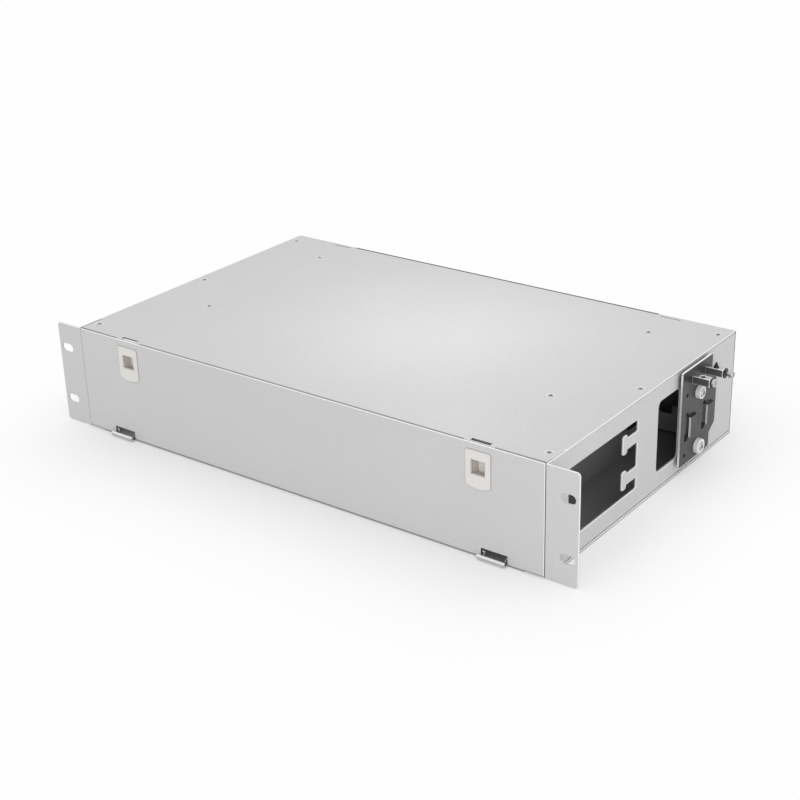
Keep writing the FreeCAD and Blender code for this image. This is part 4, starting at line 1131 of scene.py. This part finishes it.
def seen_directly(tree, place):
    """1 for camera, mirror and see-through rays, and 0 for the rest."""
    path = add_node(tree, "ShaderNodeLightPath", place)
    most = add_node(tree, "ShaderNodeMath", (place[0] + 200, place[1]), operation="MAXIMUM")
    both = add_node(tree, "ShaderNodeMath", (place[0] + 380, place[1]), operation="MAXIMUM")
    tree.links.new(path.outputs["Is Camera Ray"], most.inputs[0])
    tree.links.new(path.outputs["Is Glossy Ray"], most.inputs[1])
    tree.links.new(most.outputs[0], both.inputs[0])
    tree.links.new(path.outputs["Is Transmission Ray"], both.inputs[1])
    return both.outputs[0]


def blend(tree, place, kind, *sources):
    """The first output of a node of a kind, with the sources in its first inputs."""
    node = add_node(tree, kind, place)
    for source, socket in zip(sources, node.inputs):
        tree.links.new(source, socket)
    return node.outputs[0]


def light_world(stage):
    """Even light from all round, seen as plain white."""
    world = bpy.data.worlds.new("studio")
    bpy.context.scene.world = world
    world.use_nodes = True
    tree = world.node_tree
    tree.nodes.clear()
    even = add_node(tree, "ShaderNodeBackground", (0, 100), Color=WHITE, Strength=stage.world)
    white = add_node(tree, "ShaderNodeBackground", (0, -100), Color=WHITE, Strength=SEEN_WHITE)
    mixed = blend(tree, (220, 0), "ShaderNodeMixShader", seen_directly(tree, (-500, 200)), even.outputs[0],
                  white.outputs[0])
    out = add_node(tree, "ShaderNodeOutputWorld", (420, 0))
    tree.links.new(mixed, out.inputs["Surface"])


def beyond_shadow(tree, floor_z):
    """0 over the shadow and 1 further out: a smooth step of the distance outside a box in the floor."""
    last = add_node(tree, "ShaderNodeTexCoord", (-1200, -250)).outputs["Object"]
    nothing = (0.0, 0.0, 0.0)
    steps = (("SUBTRACT", (*SHADOW_MIDDLE, floor_z)), ("ABSOLUTE", nothing),
             ("SUBTRACT", (*SHADOW_HALF, 0.0)), ("MAXIMUM", nothing), ("LENGTH", nothing))
    for i, (operation, second) in enumerate(steps):
        step = add_node(tree, "ShaderNodeVectorMath", (-1050 + 150 * i, -250), operation=operation)
        step.inputs[1].default_value = second
        tree.links.new(last, step.inputs[0])
        last = step.outputs["Value" if operation == "LENGTH" else "Vector"]
    fade = add_node(tree, "ShaderNodeMapRange", (-300, -250), interpolation_type="SMOOTHSTEP")
    fade.inputs["From Max"].default_value = SHADOW_FADE
    tree.links.new(last, fade.inputs["Value"])
    return fade.outputs["Result"]


def floor_material(stage, floor_z):
    """A pale matt floor, lifted a little for the eye only, that gives way to plain white."""
    material = bpy.data.materials.new("floor")
    material.use_nodes = True
    tree = material.node_tree
    tree.nodes.clear()
    seen = seen_directly(tree, (-900, 300))
    matt = add_node(tree, "ShaderNodeBsdfDiffuse", (0, 200), Color=FLOOR_TONE)
    lift = add_node(tree, "ShaderNodeEmission", (0, 40), Color=WHITE)
    white = add_node(tree, "ShaderNodeEmission", (200, -120), Color=WHITE, Strength=SEEN_WHITE)
    scale = add_node(tree, "ShaderNodeMath", (-200, 0), operation="MULTIPLY")
    scale.inputs[1].default_value = stage.floor
    tree.links.new(seen, scale.inputs[0])
    tree.links.new(scale.outputs[0], lift.inputs["Strength"])
    lit = blend(tree, (220, 150), "ShaderNodeAddShader", matt.outputs[0], lift.outputs[0])
    share = add_node(tree, "ShaderNodeMath", (-100, -250), operation="MULTIPLY")
    tree.links.new(beyond_shadow(tree, floor_z), share.inputs[0])
    tree.links.new(seen, share.inputs[1])
    mixed = blend(tree, (420, 0), "ShaderNodeMixShader", share.outputs[0], lit, white.outputs[0])
    out = add_node(tree, "ShaderNodeOutputMaterial", (620, 0))
    tree.links.new(mixed, out.inputs["Surface"])
    return material


def lay_floor(stage):
    """A pale floor that keeps the shadow near the object and fades to white further out."""
    mesh = bpy.data.meshes.new("floor")
    z = UNDERSIDE / PER_METRE - FLOOR_GAP
    corners = [(x * FLOOR_HALF, y * FLOOR_HALF, z) for x, y in ((-1, -1), (1, -1), (1, 1), (-1, 1))]
    mesh.from_pydata(corners, [], [(0, 1, 2, 3)])
    floor = bpy.data.objects.new("floor", mesh)
    bpy.context.scene.collection.objects.link(floor)
    mesh.materials.append(floor_material(stage, z))


def set_camera():
    """The camera at the photograph's place, from its solved position and directions."""
    camera = bpy.data.cameras.new("camera")
    camera.sensor_width = SENSOR
    camera.lens = FOCAL_PIXELS * SENSOR / PICTURE_PIXELS
    camera.clip_start = 0.01
    holder = bpy.data.objects.new("camera", camera)
    turn = Matrix((Vector(CAMERA_RIGHT), -Vector(CAMERA_DOWN), -Vector(CAMERA_AHEAD))).transposed().to_4x4()
    holder.matrix_world = Matrix.Translation(CAMERA_PLACE) @ turn
    bpy.context.scene.collection.objects.link(holder)
    bpy.context.scene.camera = holder


class PANEL_OT_stage(PanelOperator, bpy.types.Operator):
    """The floor, the soft light and the camera"""
    bl_idname = "fibre_panel.stage"
    bl_label = "Stage"

    def execute(self, context):
        stage = context.scene.panel_stage
        light_world(stage)
        lay_floor(stage)
        area_lamp("lamp_in_front", power=stage.key, **LAMP_IN_FRONT)
        area_lamp("lamp_above", power=stage.above, **LAMP_ABOVE)
        set_camera()
        context.scene.view_settings.view_transform = "Standard"
        return {"FINISHED"}


OPERATORS = (PANEL_OT_case, PANEL_OT_door, PANEL_OT_wires, PANEL_OT_latches, PANEL_OT_case_screws,
             PANEL_OT_inner_sheets, PANEL_OT_adapters, PANEL_OT_trays, PANEL_OT_guides,
             PANEL_OT_fixing_plate, PANEL_OT_bushes, PANEL_OT_posts, PANEL_OT_stage)


class PANEL_PT_sidebar(bpy.types.Panel):
    """Lists the operators and what a user would change"""
    bl_idname = "PANEL_PT_sidebar"
    bl_label = "Fibre distribution panel"
    bl_space_type = "VIEW_3D"
    bl_region_type = "UI"
    bl_category = "Fibre panel"

    def draw(self, context):
        for operator in OPERATORS:
            self.layout.operator(operator.bl_idname)
        for group in (context.scene.panel_colours, context.scene.panel_shapes, context.scene.panel_stage):
            box = self.layout.box()
            for name in group.__annotations__:
                box.prop(group, name)


GROUPS = (PanelColours, PanelShapes, PanelStage)


def register():
    for group in GROUPS + OPERATORS + (PANEL_PT_sidebar,):
        bpy.utils.register_class(group)
    bpy.types.Scene.panel_colours = PointerProperty(type=PanelColours)
    bpy.types.Scene.panel_shapes = PointerProperty(type=PanelShapes)
    bpy.types.Scene.panel_stage = PointerProperty(type=PanelStage)


def unregister():
    del bpy.types.Scene.panel_stage
    del bpy.types.Scene.panel_shapes
    del bpy.types.Scene.panel_colours
    for group in reversed(GROUPS + OPERATORS + (PANEL_PT_sidebar,)):
        bpy.utils.unregister_class(group)


def main():
    """Register and make every piece in turn."""
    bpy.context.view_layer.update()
    register()
    for operator in OPERATORS:
        group, name = operator.bl_idname.split(".")
        getattr(getattr(bpy.ops, group), name)()


if __name__ == "__main__":
    main()
